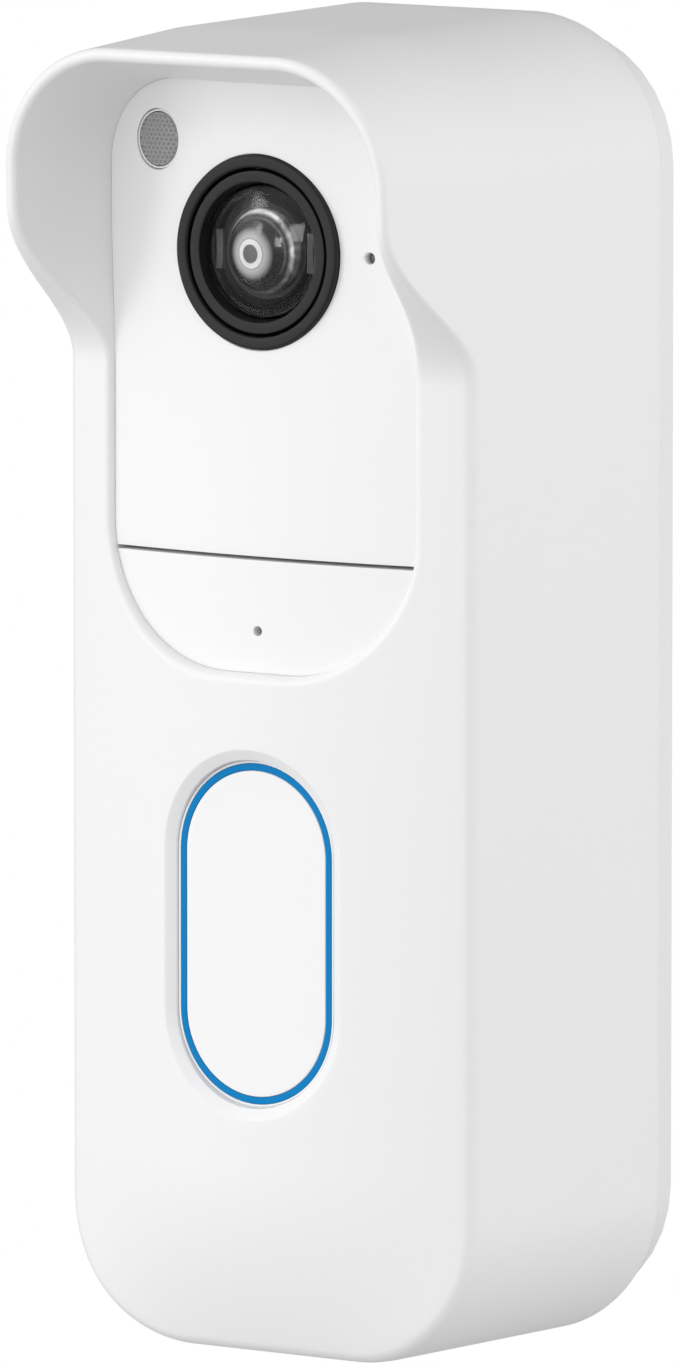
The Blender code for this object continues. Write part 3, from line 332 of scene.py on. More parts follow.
silicone = moulded("soft white silicone", (0.88, 0.88, 0.885), 0.4, 2600, 0.012, 0.006)
white_face = moulded("satin white plastic", (0.90, 0.90, 0.905), 0.33, 1800, 0.01, 0.006)
white_shell = moulded("spark-textured white plastic", (0.84, 0.84, 0.845), 0.5, 3000, 0.15, 0.01)
black_satin = moulded("satin black plastic", (0.009, 0.009, 0.0095), 0.4, 3500, 0.03, 0.05,
                      Specular_IOR_Level=0.3)
black_matt = moulded("matt black plastic", (0.006, 0.006, 0.006), 0.6, 1500, 0.0, 0.05,
                     Specular_IOR_Level=0.08)
lamp_grey = moulded("smoked lamp cover", (0.07, 0.07, 0.07), 0.4, 2500, 0.02, 0.04, Specular_IOR_Level=0.3)
black_rubber = moulded("black rubber", (0.03, 0.03, 0.03), 0.75, 1500, 0.25, 0.08)
grey_plastic = moulded("grey plastic", (0.24, 0.24, 0.25), 0.5, 2500, 0.12, 0.04)
print("moulded finishes:", len(bpy.data.materials))

# %% [markdown]
# Metals, boards and batteries sit inside, but the finished model can be taken apart, so each
# gets its own finish. Brushed steel streaks along one direction: its noise is stretched
# with a Mapping node.


# %% Inner finishes
def metal(name, colour, roughness, stretch=(1.0, 1.0, 12.0)):
    """Metal with fine streaks: noise squeezed across one axis moves tone and roughness."""
    made, nodes, links, shader = new_finish(name)
    fill(shader, {"Metallic": 1.0})
    where = nodes.new("ShaderNodeTexCoord")
    turn = added(nodes, "ShaderNodeMapping", {"Scale": stretch})
    streaks = added(nodes, "ShaderNodeTexNoise", {"Scale": 420.0})
    dark = (*[c * 0.85 for c in colour], 1)
    light = (*[min(c * 1.1, 1) for c in colour], 1)
    tone = added(nodes, "ShaderNodeMix", {"A": dark, "B": light}, data_type="RGBA")
    gloss = added(nodes, "ShaderNodeMapRange", {"To Min": roughness - 0.08, "To Max": roughness + 0.12})
    wire(links, (where, "Object", turn, "Vector"), (turn, "Vector", streaks, "Vector"),
         (streaks, "Fac", tone, "Factor"), (streaks, "Fac", gloss, "Value"),
         (tone, "Result", shader, "Base Color"), (gloss, "Result", shader, "Roughness"))
    return made


def clear(name, roughness, ior):
    """Glass with a very faint waviness in its surface."""
    made, nodes, links, shader = new_finish(name)
    fill(shader, {"Base Color": (1, 1, 1, 1), "Roughness": roughness, "IOR": ior, "Transmission Weight": 1.0})
    group = added(nodes, "ShaderNodeGroup", {"Scale": 300.0, "Drift scale": 60.0}, node_tree=GRAIN)
    relief = added(nodes, "ShaderNodeBump", {"Strength": 0.02, "Distance": 0.02 * MM})
    wire(links, (group, "Drift", relief, "Height"), (relief, "Normal", shader, "Normal"))
    return made


steel = metal("nickel-plated steel", (0.62, 0.61, 0.59), 0.3)
tin = metal("tinned steel", (0.58, 0.58, 0.56), 0.38, (6.0, 1.0, 1.0))
brass = metal("brass", (0.72, 0.52, 0.22), 0.32)
board_green = moulded("solder mask", (0.02, 0.13, 0.05), 0.35, 900, 0.3, 0.15)
wrap_film = moulded("battery wrap", (0.09, 0.10, 0.12), 0.3, 500, 0.05, 0.1)
lamp_resin = moulded("lamp resin", (0.85, 0.8, 0.5), 0.3, 700, 0.05, 0.05)
silicon_die = moulded("sensor silicon", (0.03, 0.04, 0.07), 0.2, 5000, 0.02, 0.3)
glass = clear("window glass", 0.02, 1.2)
print("materials so far:", len(bpy.data.materials))

# %% [markdown]
# ## The sleeve
# The sleeve is one soft shell: drafted sides, a softly crowned front, and at the top a
# hood whose sides sweep back to the front in an S. It could be boxes joined by booleans,
# but the sweep, the lip and the rolled edge run into each other, so it is drawn as one
# surface instead. A loop of points runs round the outline, and its rows go up the side,
# over the edge and across the front. Where the hood grows out of the body is a function
# of the height alone: `sweep` is 0 on the body, 1 in the hood, and a smooth wave between.

# %% Sizes of the sleeve, from its node
sleeve_low, sleeve_high = box_of("silicone_sleeve")
WIDTH = sleeve_high[0] - sleeve_low[0]
HEIGHT = sleeve_high[2] - sleeve_low[2]
REAR = -sleeve_high[1]
RIM = -sleeve_low[1]
CORNER = 15.8 * MM
WALL = 1.8 * MM
DRAFT = 0.55 * MM
CREASE = 36.0 * MM
EDGE = 38.4 * MM
CROWN = 4.2 * MM
ROLL = 1.1 * MM
FRONT_SKIN = 1.9 * MM
BOTTOM_ROLL = 20.0 * MM
RIM_LEAN = 0.06
SIDE_TAPER = 2.0 * MM
TOP_TAPER = 1.25 * MM
LIP = 1.4 * MM
SWEEP = (33.5 * MM, 41.0 * MM, 50.2 * MM)
FRONT_INSIDE = EDGE - FRONT_SKIN
OPENING = dict(half_width=20.0 * MM, top=64.0 * MM, bottom=1.6 * MM,
               top_corner=9.6 * MM, low_corner=16.0 * MM)
print("sleeve is", np.round([WIDTH / MM, RIM / MM, HEIGHT / MM], 1), "mm")


# %% The sleeve's front and outline
def front_depth(x, z):
    """EDGE + CROWN * (1 - (x / half width)^2), falling to EDGE near the bottom."""
    across = 1 - (x / (WIDTH / 2 - DRAFT)) ** 2
    below = np.clip((-z - (HEIGHT / 2 - DRAFT - BOTTOM_ROLL)) / BOTTOM_ROLL, 0, 1)
    return EDGE + CROWN * across * (1 - below ** 2)


def sweep(z):
    """A quarter wave up from the body, then a longer quarter wave that levels out."""
    low, middle, high = SWEEP
    share = (middle - low) / (high - low)
    rise = np.clip((z - low) / (middle - low), 0, 1)
    settle = np.clip((z - middle) / (high - middle), 0, 1)
    return share * (1 - np.cos(rise * math.pi / 2)) + (1 - share) * np.sin(settle * math.pi / 2)


def outline_sizes(depth):
    """Half width, half height and corner radius at a depth: a draft, then the taper."""
    body = np.clip((depth - REAR) / (CREASE - REAR), 0, 1)
    hood = np.clip((depth - CREASE) / (RIM - CREASE), 0, 1)
    side = DRAFT * body + SIDE_TAPER * hood
    top = DRAFT * body + TOP_TAPER * hood
    return WIDTH / 2 - side, HEIGHT / 2 - top, CORNER - side


# %% [markdown]
# The loop has the same number of points at every depth. Its points are kept as *places*:
# which corner or side they belong to, and how far along. Then the outline at a depth, and
# at an inset, is one formula over all places at once.


# %% Loop places
CHORD = -1.7 * MM                    # height of the seamless line between the openings
side_z = np.concatenate([np.linspace(52.0, 30.0, 56), np.linspace(29.4, 17.6, 12),
                         np.linspace(16.6, CHORD / MM, 18), np.linspace(-3.0, -52.0, 44)]) * MM
turns = np.linspace(90, 0, 33)


def half_loop(half_width, half_height, corner, inset):
    """Right half of the sleeve's outline, from the top middle to the bottom middle.

    Sizes may be one number or one for each point, in the order of the loop.
    """
    n_top, n_corner, n_side = 10, len(turns), len(side_z)
    n_low = 10
    total = n_top + n_corner + n_side + n_corner + n_low
    hw = np.broadcast_to(half_width, total) - inset
    hh = np.broadcast_to(half_height, total) - inset
    r = np.broadcast_to(corner, total) - inset
    x = np.empty(total)
    z = np.empty(total)
    cuts = np.cumsum([0, n_top, n_corner, n_side, n_corner, n_low])
    top, high, side, low, foot = [slice(a, b) for a, b in zip(cuts, cuts[1:])]
    x[top] = (hw - r)[top] * np.linspace(0, 1, n_top + 1)[:-1]
    z[top] = hh[top]
    angle = np.radians(turns)
    x[high] = (hw - r)[high] + r[high] * np.cos(angle)
    z[high] = (hh - r)[high] + r[high] * np.sin(angle)
    x[side] = hw[side]
    z[side] = side_z
    x[low] = (hw - r)[low] + r[low] * np.cos(angle[::-1])
    z[low] = -(hh - r)[low] - r[low] * np.sin(angle[::-1])
    x[foot] = (hw - r)[foot] * np.linspace(1, 0, n_low + 1)[1:]
    z[foot] = -hh[foot]
    return np.column_stack([x, z])


def mirrored(half):
    """Whole loop from a right half whose first and last points lie on X = 0."""
    return np.vstack([half, (half * [-1, 1])[1:-1][::-1]])


def body_loop(depth, inset=0.0):
    """The sleeve's outline at a depth. The depth may differ from point to point."""
    count = len(half_loop(1.0, 1.0, 0.1, 0.0))
    depth = np.asarray(depth, float)
    half_depth = depth[:count] if depth.ndim else depth
    half_inset = inset[:count] if np.ndim(inset) else inset
    return mirrored(half_loop(*outline_sizes(half_depth), half_inset))


start = body_loop(EDGE)
print("points round the sleeve:", len(start))


# %% [markdown]
# The front has two openings. Seen from the front each is a smooth convex loop, so the
# line from any point outside it to its nearest point on it never crosses another such
# line. Those lines are the columns of the front's grid, one fan of them for each
# opening, and the two fans meet along the chord.


# %% Nearest points on the two openings
def nearest_on_opening(points, inset=0.0):
    """Nearest point on the face opening: straight across beside it, radial at corners."""
    x, z = np.abs(points[:, 0]), points[:, 1]
    upper = z > 35.0 * MM
    corner = np.where(upper, OPENING["top_corner"], OPENING["low_corner"])
    radius = corner - inset
    core_x = OPENING["half_width"] - corner
    core_z = np.where(upper, OPENING["top"] - corner, OPENING["bottom"] + corner)
    inner_z = np.where(upper, np.minimum(z, core_z), np.maximum(z, core_z))
    base = np.column_stack([np.minimum(x, core_x), inner_z])
    away = np.column_stack([x, z]) - base
    away /= np.maximum(np.linalg.norm(away, axis=1), 1e-9)[:, None]
    found = base + away * radius[:, None]
    return found * np.column_stack([np.where(points[:, 0] < 0, -1, 1), np.ones(len(x))])


ring_low, ring_high = box_of("light_ring")
BUTTON_Z = (ring_low[2] + ring_high[2]) / 2
RING = (ring_high[0] - ring_low[0], ring_high[2] - ring_low[2])
FRAME_LIP = 0.24 * MM                # the white frame's raised edge round the ring
GROOVE = 0.16 * MM                   # from there to the sleeve
WINDOW_WIDTH = RING[0] + 2 * (FRAME_LIP + GROOVE)
WINDOW_LENGTH = RING[1] + 2 * (FRAME_LIP + GROOVE)


def nearest_on_window(points, outset=0.0):
    """Nearest point on the button window, a slot with round ends."""
    spine = WINDOW_LENGTH / 2 - WINDOW_WIDTH / 2
    height = np.clip(points[:, 1] - BUTTON_Z, -spine, spine) + BUTTON_Z
    base = np.column_stack([np.zeros(len(points)), height])
    away = points - base
    away /= np.linalg.norm(away, axis=1)[:, None]
    return base + away * (WINDOW_WIDTH / 2 + outset)


print("window", np.round([WINDOW_WIDTH / MM, WINDOW_LENGTH / MM], 2), "mm at", round(BUTTON_Z / MM, 1))

# %% [markdown]
# Now the rows. Up the side they follow the outline from the rear edge, past the faint
# crease where the hood begins to taper. At the edge a quarter turn rolls them over, a
# tighter one on the hood's lip than on the body. Then comes the rim, which is the whole
# margin beside the opening on the body and narrows to the lip's thickness in the hood. A
# second quarter turn leads down the inside of the hood to the face, and round the button
# a flat chamfer does so. There the rows return behind the wall to close the shell. Five
# slots in the bottom let the sound out.


# %% Depth of the rim
def rim_depth(z):
    """RIM at the top, leaning back by RIM_LEAN for each unit of height."""
    return RIM - RIM_LEAN * (HEIGHT / 2 - z)


def edge_surface(loop, weight, z):
    """(1 - weight) * crowned front + weight * hood rim; z is where the rim is read."""
    return (1 - weight) * front_depth(loop[:, 0], loop[:, 1]) + weight * rim_depth(z)


hood = sweep(start[:, 1])
roll = (1 - hood) * ROLL + hood * LIP / 2
edge = edge_surface(start, hood, start[:, 1])
REAR_EASE = 0.5 * MM
print("hood rim at the top:", round(float(edge.max()) / MM, 2), "mm from the wall")


# %% Rows up the side and over the edge
side_rows = [at_depth(body_loop(REAR, WALL), REAR), at_depth(body_loop(REAR, REAR_EASE), REAR)]
for turn in np.radians([30, 60, 90]):
    depth = REAR + REAR_EASE * (1 - math.cos(turn))
    side_rows.append(at_depth(body_loop(depth, REAR_EASE * (1 - math.sin(turn))), depth))
for share in np.linspace(0.1, 1.0, 8):
    depth = REAR + REAR_EASE + (CREASE - REAR - REAR_EASE) * share
    side_rows.append(at_depth(body_loop(depth), depth))
roll_start = np.maximum(edge - roll, CREASE + 0.05 * MM)
for share in np.linspace(0.12, 1.0, 12):
    depth = CREASE + (roll_start - CREASE) * share
    side_rows.append(at_depth(body_loop(depth), depth))
for turn in np.radians(np.linspace(10, 90, 9)):
    loop = body_loop(roll_start + roll * math.sin(turn), roll * (1 - math.cos(turn)))
    depth = edge_surface(loop, hood, start[:, 1]) - roll * (1 - math.sin(turn))
    side_rows.append(at_depth(loop, depth))
shoulder = loop
lip_inside = body_loop(edge, LIP)
print("rows up the side:", len(side_rows))

# %% Where the two openings share the front
above = start[:, 1] >= CHORD - 1e-9
count = len(start)
right_end = int(np.argmin(np.where(above[:count // 2], start[:count // 2, 1], 9)))
left_end = count - right_end
above_index = np.concatenate([np.arange(left_end, count), np.arange(0, right_end + 1)])
below_index = np.arange(right_end, left_end + 1)
chord_x = np.linspace(shoulder[right_end, 0], shoulder[left_end, 0], 61)[1:-1]
chord = np.column_stack([chord_x, np.full(len(chord_x), CHORD)])
FACE_EASE = 1.0 * MM
WINDOW_CHAMFER = 1.2 * MM
ROLL_PATH = [(math.sin(t), 1 - math.cos(t)) for t in np.radians(np.linspace(10, 90, 9))]
CHAMFER_PATH = [(0.05, 0.008), (0.1, 0.035), (0.3, 0.16), (0.6, 0.36), (0.92, 0.57), (0.97, 0.61),
                (1.0, 0.66)]


def throat_inset(z):
    """The sleeve's edge reaches 1.05 mm over the face on the body and 0.6 mm in the hood."""
    return (1.05 - 0.45 * sweep(z)) * MM


def front_rows(border, weight, z, lip, nearest, ease, path, foot_drop, rows):
    """Rim, inner edge, wall and throat for one opening.

    A point of the rim is border * (1 - s) + A * s. A is where the inner edge starts, an
    ease outside the opening on the body and the middle of the lip in the hood. B is where
    it ends, and the wall runs from B to the opening's own edge. The edge follows a path
    of (share of the way from A to B, drop in eases).
    """
    w = weight[:, None]
    turn_start = nearest(border, ease) * (1 - w) + border * w
    turn_end = nearest(border, 0.0) * (1 - w) + lip * w
    radius = (1 - weight) * ease + weight * LIP / 2
    made = []
    for share in np.linspace(0, 1, rows):
        loop = border * (1 - share) + turn_start * share
        made.append(at_depth(loop, edge_surface(loop, weight, z)))
    for along, drop in path:
        loop = turn_start + (turn_end - turn_start) * along
        made.append(at_depth(loop, edge_surface(loop, weight, z) - radius * drop))
    top = -made[-1][:, 1]
    foot = nearest(border, 0.0)
    foot_depth = np.minimum(front_depth(foot[:, 0], foot[:, 1]) - foot_drop, top)
    for share in np.linspace(0, 1, 11)[1:]:
        loop = turn_end * (1 - share) + foot * share
        made.append(at_depth(loop, top * (1 - share) + foot_depth * share))
    made.append(at_depth(foot, FRONT_INSIDE))
    return np.array(made)


# %% Close the shell around both openings
upper_border = np.vstack([shoulder[above_index], chord])
upper_lip = np.vstack([lip_inside[above_index], chord])
upper_weight = np.concatenate([hood[above_index], np.zeros(len(chord))])
upper_z = np.concatenate([start[above_index, 1], chord[:, 1]])
lower_border = np.vstack([shoulder[below_index], chord[::-1]])
no_weight = np.zeros(len(lower_border))
upper = front_rows(upper_border, upper_weight, upper_z, upper_lip,
                   lambda at, out: nearest_on_opening(at, throat_inset(upper_z) - out), FACE_EASE,
                   ROLL_PATH, 1.0 * MM, 20)
lower = front_rows(lower_border, no_weight, lower_border[:, 1], lower_border,
                   nearest_on_window, WINDOW_CHAMFER, CHAMFER_PATH, 1.4 * MM, 24)
inside_loop = at_depth(body_loop(REAR, WALL), FRONT_INSIDE)
chord_inside = at_depth(chord, FRONT_INSIDE)
back_upper = np.stack([np.vstack([inside_loop[above_index], chord_inside]), upper[-1]])
back_lower = np.stack([np.vstack([inside_loop[below_index], chord_inside[::-1]]), lower[-1]])
cavity = np.stack([side_rows[0], inside_loop])
patches = [grid(side_rows), grid(upper), grid(lower), grid(back_upper), grid(back_lower), grid(cavity)]
sleeve = solid("sleeve", patches, silicone, 50.0, 2e-6)
SLOT_WIDTH, SLOT_PITCH = 1.2 * MM, 3.2 * MM
SLOT_NEAR, SLOT_FAR = 11.5 * MM, 19.5 * MM
sound_slots = []
for number in range(5):
    around = pill_outline(SLOT_WIDTH, SLOT_FAR - SLOT_NEAR, (SLOT_NEAR + SLOT_FAR) / 2, steps=12)
    around[:, 0] += (number - 2) * SLOT_PITCH
    middle = np.broadcast_to(around.mean(axis=0), around.shape)
    foot, head = -HEIGHT / 2 - 1.0 * MM, -HEIGHT / 2 + WALL + 1.0 * MM
    stack = [(middle, foot), (around, foot), (around, head), (middle, head)]
    sound_slots.append(grid([np.column_stack([at[:, 0], -at[:, 1], np.full(len(at), z)]) for at, z in stack]))
carve(sleeve, [solid("sound_slots", sound_slots, silicone)], 50.0)
place(sleeve, "doorbell", "soft_silicone", "silicone_sleeve")
print("sleeve has", len(sleeve.data.polygons), "faces")

# %% [markdown]
# ## The face plates
# Two smooth plates fill the opening, parted by a dark seam. They are crowned from side to
# side. A plate is an outline with a height above it, so it is built as rows again: up the
# skirt, round a small edge, and then shrinking loops across the crowned face. Holes are
# cut afterwards by turned cutters whose cone leaves a tiny chamfer.


# %% Caps, rings and cutters
def flat_at(depth):
    """A surface at one depth."""
    return lambda x, z: np.full(np.shape(x), depth)


def cap(name, loop_at, surface, back, ease, finish, skin=None, skirt=0.0, rings=24):
    """Closed cap over an outline, with depth surface(x, z) and an edge of radius ease.

    loop_at(inset) is the outline moved in by an inset. With a skin the cap is hollow
    behind: a skirt goes back all round, and the inside follows the surface a skin deeper.
    """
    if skin is None:
        rows = list(fan(at_depth(loop_at(0.0), back), flat_at(back), 4))[::-1]
    else:
        inner = loop_at(skirt)
        under = at_depth(inner, surface(inner[:, 0], inner[:, 1]) - skin)
        rows = list(fan(under, lambda x, z: surface(x, z) - skin, rings))[::-1]
        rows += [at_depth(inner, back), at_depth(loop_at(0.0), back)]
    for turn in np.radians(np.linspace(0, 90, 6)):
        edge_loop = loop_at(ease * (1 - math.cos(turn)))
        depth = surface(edge_loop[:, 0], edge_loop[:, 1]) - ease * (1 - math.sin(turn))
        rows.append(at_depth(edge_loop, depth))
    rows += list(fan(rows[-1], surface, rings))[1:]
    return solid(name, [grid(rows)], finish)


def collar(name, outer_at, inner_at, back, front, ease, finish):
    """Ring between two outlines with both front edges rounded."""
    quarter = np.radians(np.linspace(0, 90, 6))
    rows = [at_depth(inner_at(0.0), back), at_depth(outer_at(0.0), back)]
    rows += [at_depth(outer_at(ease * (1 - math.cos(t))), front - ease * (1 - math.sin(t))) for t in quarter]
    rows += [at_depth(inner_at(ease * (math.cos(t) - 1)), front - ease * (1 - math.sin(t)))
             for t in quarter[::-1]]
    rows.append(rows[0])
    return solid(name, [grid(rows)], finish)


def hole(radius, centre, back, front, chamfer, finish):
    """Turned cutter: a cylinder that opens into a cone at the front."""
    spread = radius + chamfer + 1.0 * MM
    corners = [(0, back), (radius, back), (radius, front - chamfer), (spread, front + 1.0 * MM),
               (0, front + 1.0 * MM)]
    return turned("hole", corners, [0, 0, 0], centre, finish, 96)


upper_low, upper_high = box_of("upper_face_plate")
_, lower_high = box_of("lower_face_plate")
FACE_TOP = -upper_low[1]
FACE_BACK = -upper_high[1]
FACE_CROWN = 1.6 * MM
SEAM = (upper_low[2], lower_high[2])
PLATE_GAP = 0.01 * MM
print("face is", round(FACE_TOP / MM, 1), "mm from the wall, seam", np.round(np.array(SEAM) / MM, 2))


# %% Upper and lower plate
def face_depth(x, z):
    """FACE_TOP - FACE_CROWN * (x / half width)^2, the same at every height."""
    return FACE_TOP - FACE_CROWN * (x / OPENING["half_width"]) ** 2


LOW_X = OPENING["half_width"] - OPENING["low_corner"]
LOW_Z = OPENING["bottom"] + OPENING["low_corner"]


def seam_line(angle, radius, height):
    """Straight edge between the two ends of a low arc, from right to left."""
    end = LOW_X + radius * math.cos(angle)
    x = np.linspace(end, -end, 42)[1:-1]
    return np.column_stack([x, np.full(len(x), height)])


def upper_outline(inset):
    """Upper plate: the opening's outline down to the seam, clockwise from the top."""
    r = OPENING["top_corner"] - throat_inset(HEIGHT) - PLATE_GAP - inset
    q = OPENING["low_corner"] - throat_inset(0.0) - PLATE_GAP - inset
    top = (OPENING["half_width"] - OPENING["top_corner"], OPENING["top"] - OPENING["top_corner"])
    height = SEAM[0] + inset
    angle = -math.asin((LOW_Z - height) / q)
    side = np.linspace(top[1], LOW_Z, 60)[1:-1]
    side_x = OPENING["half_width"] - throat_inset(side) - PLATE_GAP - inset
    right = np.vstack([arc(top, r, 90, 0, 24), np.column_stack([side_x, side]),
                       arc((LOW_X, LOW_Z), q, 0, math.degrees(angle), 6)])
    flat = np.linspace(-top[0], top[0], 14)[1:-1]
    return np.vstack([right, seam_line(angle, q, height), right[::-1] * [-1, 1],
                      np.column_stack([flat, np.full(len(flat), right[0, 1])])])


def lower_outline(inset):
    """Lower plate: from the seam round the low arc, clockwise from the seam's right end."""
    q = OPENING["low_corner"] - throat_inset(0.0) - PLATE_GAP - inset
    height = SEAM[1] - inset
    angle = -math.asin((LOW_Z - height) / q)
    right = arc((LOW_X, LOW_Z), q, math.degrees(angle), -90, 44)
    flat = np.linspace(LOW_X, -LOW_X, 10)[1:-1]
    return np.vstack([right, np.column_stack([flat, np.full(len(flat), right[-1, 1])]),
                      right[::-1] * [-1, 1], seam_line(angle, q, height)[::-1]])


PLATE_SIZES = dict(ease=0.08 * MM, finish=white_face, skin=1.8 * MM, skirt=1.3 * MM)
upper_plate = cap("upper_plate", upper_outline, face_depth, FACE_BACK, **PLATE_SIZES)
lower_plate = cap("lower_plate", lower_outline, face_depth, FACE_BACK, **PLATE_SIZES)
bezel_low, bezel_high = box_of("camera_bezel")
LENS = centre_of("camera_bezel")
BEZEL = (bezel_high[0] - bezel_low[0]) / 2
motion_low, motion_high = box_of("motion_sensor_lens")
MOTION = centre_of("motion_sensor_lens")
MOTION_RADIUS = (motion_high[0] - motion_low[0]) / 2
DISC = (MOTION[0] + 0.3 * MM, MOTION[1] - 0.15 * MM)
OVAL = 0.85                          # the disc is narrower than it is high
DISC_RADIUS = 0.935 * MOTION_RADIUS
pipe_low, pipe_high = box_of("status_light_pipe")
PIPE = centre_of("status_light_pipe")
MIC = centre_of("microphone_gasket")
behind = FACE_BACK - 1.0 * MM
SQUEEZE = Matrix.Translation((DISC[0] * (1 - OVAL), 0, 0)) @ Matrix.Diagonal((OVAL, 1, 1, 1))
disc_hole = hole(DISC_RADIUS + 0.4 * MM, DISC, behind, face_depth(*DISC), 0.05 * MM, white_face)
disc_hole.data.transform(SQUEEZE)
carve(upper_plate, [hole(BEZEL + 0.08 * MM, LENS, behind, FACE_TOP, 0.1 * MM, white_face),
                    disc_hole,
                    hole(0.6 * MM, PIPE, behind, face_depth(*PIPE), 0.08 * MM, white_face)])
carve(lower_plate, [hole(0.5 * MM, MIC, behind, face_depth(*MIC), 0.08 * MM, white_face)])
place(upper_plate, "doorbell", "white_face", "upper_face_plate")
place(lower_plate, "doorbell", "white_face", "lower_face_plate")
print("plates have", len(upper_plate.data.polygons), "and", len(lower_plate.data.polygons), "faces")

# %% [markdown]
# ## The camera
# Two black rings step down to a domed window. Each ring is a profile turned about the
# camera's axis, with its edges eased so that a thin line of light runs round it. Behind
# the window sits the front lens: real ones glow with rings, where the coated elements
# and the edges of the aperture mirror the light. Here those reflections are painted:
# two ramps of grey over the distances from two axes, on a dome of their own, given as
# its colour and as a faint painted glow.


# %% Camera rings
def ring_profile(outer, inner, back, front, ease):
    """Square section of a ring with both front edges eased."""
    corners = [(inner, back), (outer, back), (outer, front), (inner, front), (inner, back)]
    return corners, [0.0, ease, ease]


BEZEL_FRONT = -bezel_low[1]
bezel_ring = turned("bezel_ring", *ring_profile(BEZEL, BEZEL - 1.3 * MM, FACE_BACK, BEZEL_FRONT, 0.28 * MM),
                    LENS, black_satin, 160)
retainer_low, retainer_high = box_of("lens_retainer")
RETAINER = (retainer_high[0] - retainer_low[0]) / 2
RETAINER_INNER = RETAINER - 1.15 * MM
corners = [(RETAINER_INNER - 0.25 * MM, FACE_BACK), (RETAINER, FACE_BACK), (RETAINER, -retainer_low[1]),
           (RETAINER_INNER, -retainer_low[1]), (RETAINER_INNER - 0.25 * MM, -retainer_low[1] - 1.2 * MM),
           (RETAINER_INNER - 0.25 * MM, FACE_BACK)]
retainer_ring = turned("retainer_ring", corners, [0, 0.14 * MM, 0.14 * MM, 0.1 * MM], LENS, black_satin, 160)
place(bezel_ring, "doorbell", "black_plastic", "camera_bezel")
place(retainer_ring, "doorbell", "black_plastic", "lens_retainer")
print("rings:", len(bezel_ring.data.polygons), len(retainer_ring.data.polygons), "faces")


# %% Domed window, lens and lamps
def dome(radius, rise, base, steps=24):
    """Spherical cap from its rim to its top, as (radius, depth) pairs.

    The sphere's radius is (radius^2 + rise^2) / (2 * rise).
    """
    sphere = (radius ** 2 + rise ** 2) / (2 * rise)
    angle = np.linspace(math.asin(radius / sphere), 0, steps)
    return np.column_stack([sphere * np.sin(angle), base + rise - sphere * (1 - np.cos(angle))])


def plain_turned(name, profile, centre, finish, steps=128):
    """Turn a profile whose points are all kept as they are."""
    return turned(name, profile, [0] * (len(profile) - 2), centre, finish, steps)


window_low, window_high = box_of("camera_window")
WINDOW = (window_high[0] - window_low[0]) / 2
WINDOW_TOP = -window_low[1]
WINDOW_RIM = WINDOW_TOP - 1.9 * MM
outer_dome = dome(WINDOW - 0.25 * MM, 1.3 * MM, WINDOW_RIM)
inner_dome = dome(WINDOW - 0.9 * MM, 1.15 * MM, WINDOW_RIM - 0.7 * MM)
shell = np.vstack([inner_dome[::-1], [(WINDOW - 0.25 * MM, WINDOW_RIM - 0.7 * MM)], outer_dome])
window = plain_turned("domed_window", shell, LENS, glass)
place(window, "doorbell", "clear_glass", "camera_window")


def ramp_of(material_nodes, stops):
    """Colour ramp through (share, grey) stops."""
    ramp = material_nodes.new("ShaderNodeValToRGB")
    elements = ramp.color_ramp.elements
    while len(elements) < len(stops):
        elements.new(0.5)
    for element, (share, grey) in zip(elements, stops):
        element.position = share
        element.color = (grey, grey, grey * 1.02, 1)
    return ramp


def ring_share(nodes, links, where, centre, reach):
    """Distance from an axis along Y, as a share of a reach: |p - centre| / reach."""
    flat = added(nodes, "ShaderNodeMapping", {"Location": (-centre[0] / reach, 0, -centre[1] / reach),
                                              "Scale": (1 / reach, 0, 1 / reach)})
    length = added(nodes, "ShaderNodeVectorMath", operation="LENGTH")
    wire(links, (where, "Object", flat, "Vector"), (flat, "Vector", length, 0))
    return flat, length


def painted_reflection_lens(name, inner_centre, outer_centre, reach, inner, outer):
    """Painted reflections: rings of mirrored light, as grey by distance from two axes.

    The painted outer rings are bright on one side and fade to the other, and noise breaks them up. The same
    grey also drives a painted glow.
    """
    made, nodes, links, shader = new_finish(name)
    # painted glow: the lens gives off a little light of its own, though it is no lamp
    fill(shader, {"Roughness": 0.1, "Specular IOR Level": 0.35, "Emission Strength": 0.3})
    where = nodes.new("ShaderNodeTexCoord")
    _, small = ring_share(nodes, links, where, inner_centre, reach)
    flat, large = ring_share(nodes, links, where, outer_centre, reach)
    inner_ramp, outer_ramp = ramp_of(nodes, inner), ramp_of(nodes, outer)
    unit = added(nodes, "ShaderNodeVectorMath", operation="NORMALIZE")
    # painted highlight: the outer rings are brighter towards one fixed side
    side = added(nodes, "ShaderNodeVectorMath", {1: (0.55, 0, 0.83)}, operation="DOT_PRODUCT")
    fade = added(nodes, "ShaderNodeMapRange", {"From Min": -0.4, "From Max": 0.95, "To Min": 0.1},
                 interpolation_type="SMOOTHSTEP")
    cloud = added(nodes, "ShaderNodeTexNoise", {"Scale": 3.2, "Distortion": 1.2})
    patchy = added(nodes, "ShaderNodeMapRange", {"From Min": 0.3, "From Max": 0.7,
                                                 "To Min": 0.35, "To Max": 1.4})
    strength = added(nodes, "ShaderNodeMath", operation="MULTIPLY")
    weak = added(nodes, "ShaderNodeVectorMath", operation="SCALE")
    both = added(nodes, "ShaderNodeVectorMath", operation="ADD")
    wire(links, (small, "Value", inner_ramp, "Fac"), (large, "Value", outer_ramp, "Fac"),
         (flat, "Vector", unit, 0), (unit, "Vector", side, 0), (side, "Value", fade, "Value"),
         (flat, "Vector", cloud, "Vector"), (cloud, "Fac", patchy, "Value"),
         (fade, "Result", strength, 0), (patchy, "Result", strength, 1),
         (outer_ramp, "Color", weak, 0), (strength, "Value", weak, "Scale"),
         (inner_ramp, "Color", both, 0), (weak, "Vector", both, 1),
         (both, "Vector", shader, "Base Color"), (both, "Vector", shader, "Emission Color"))
    return made


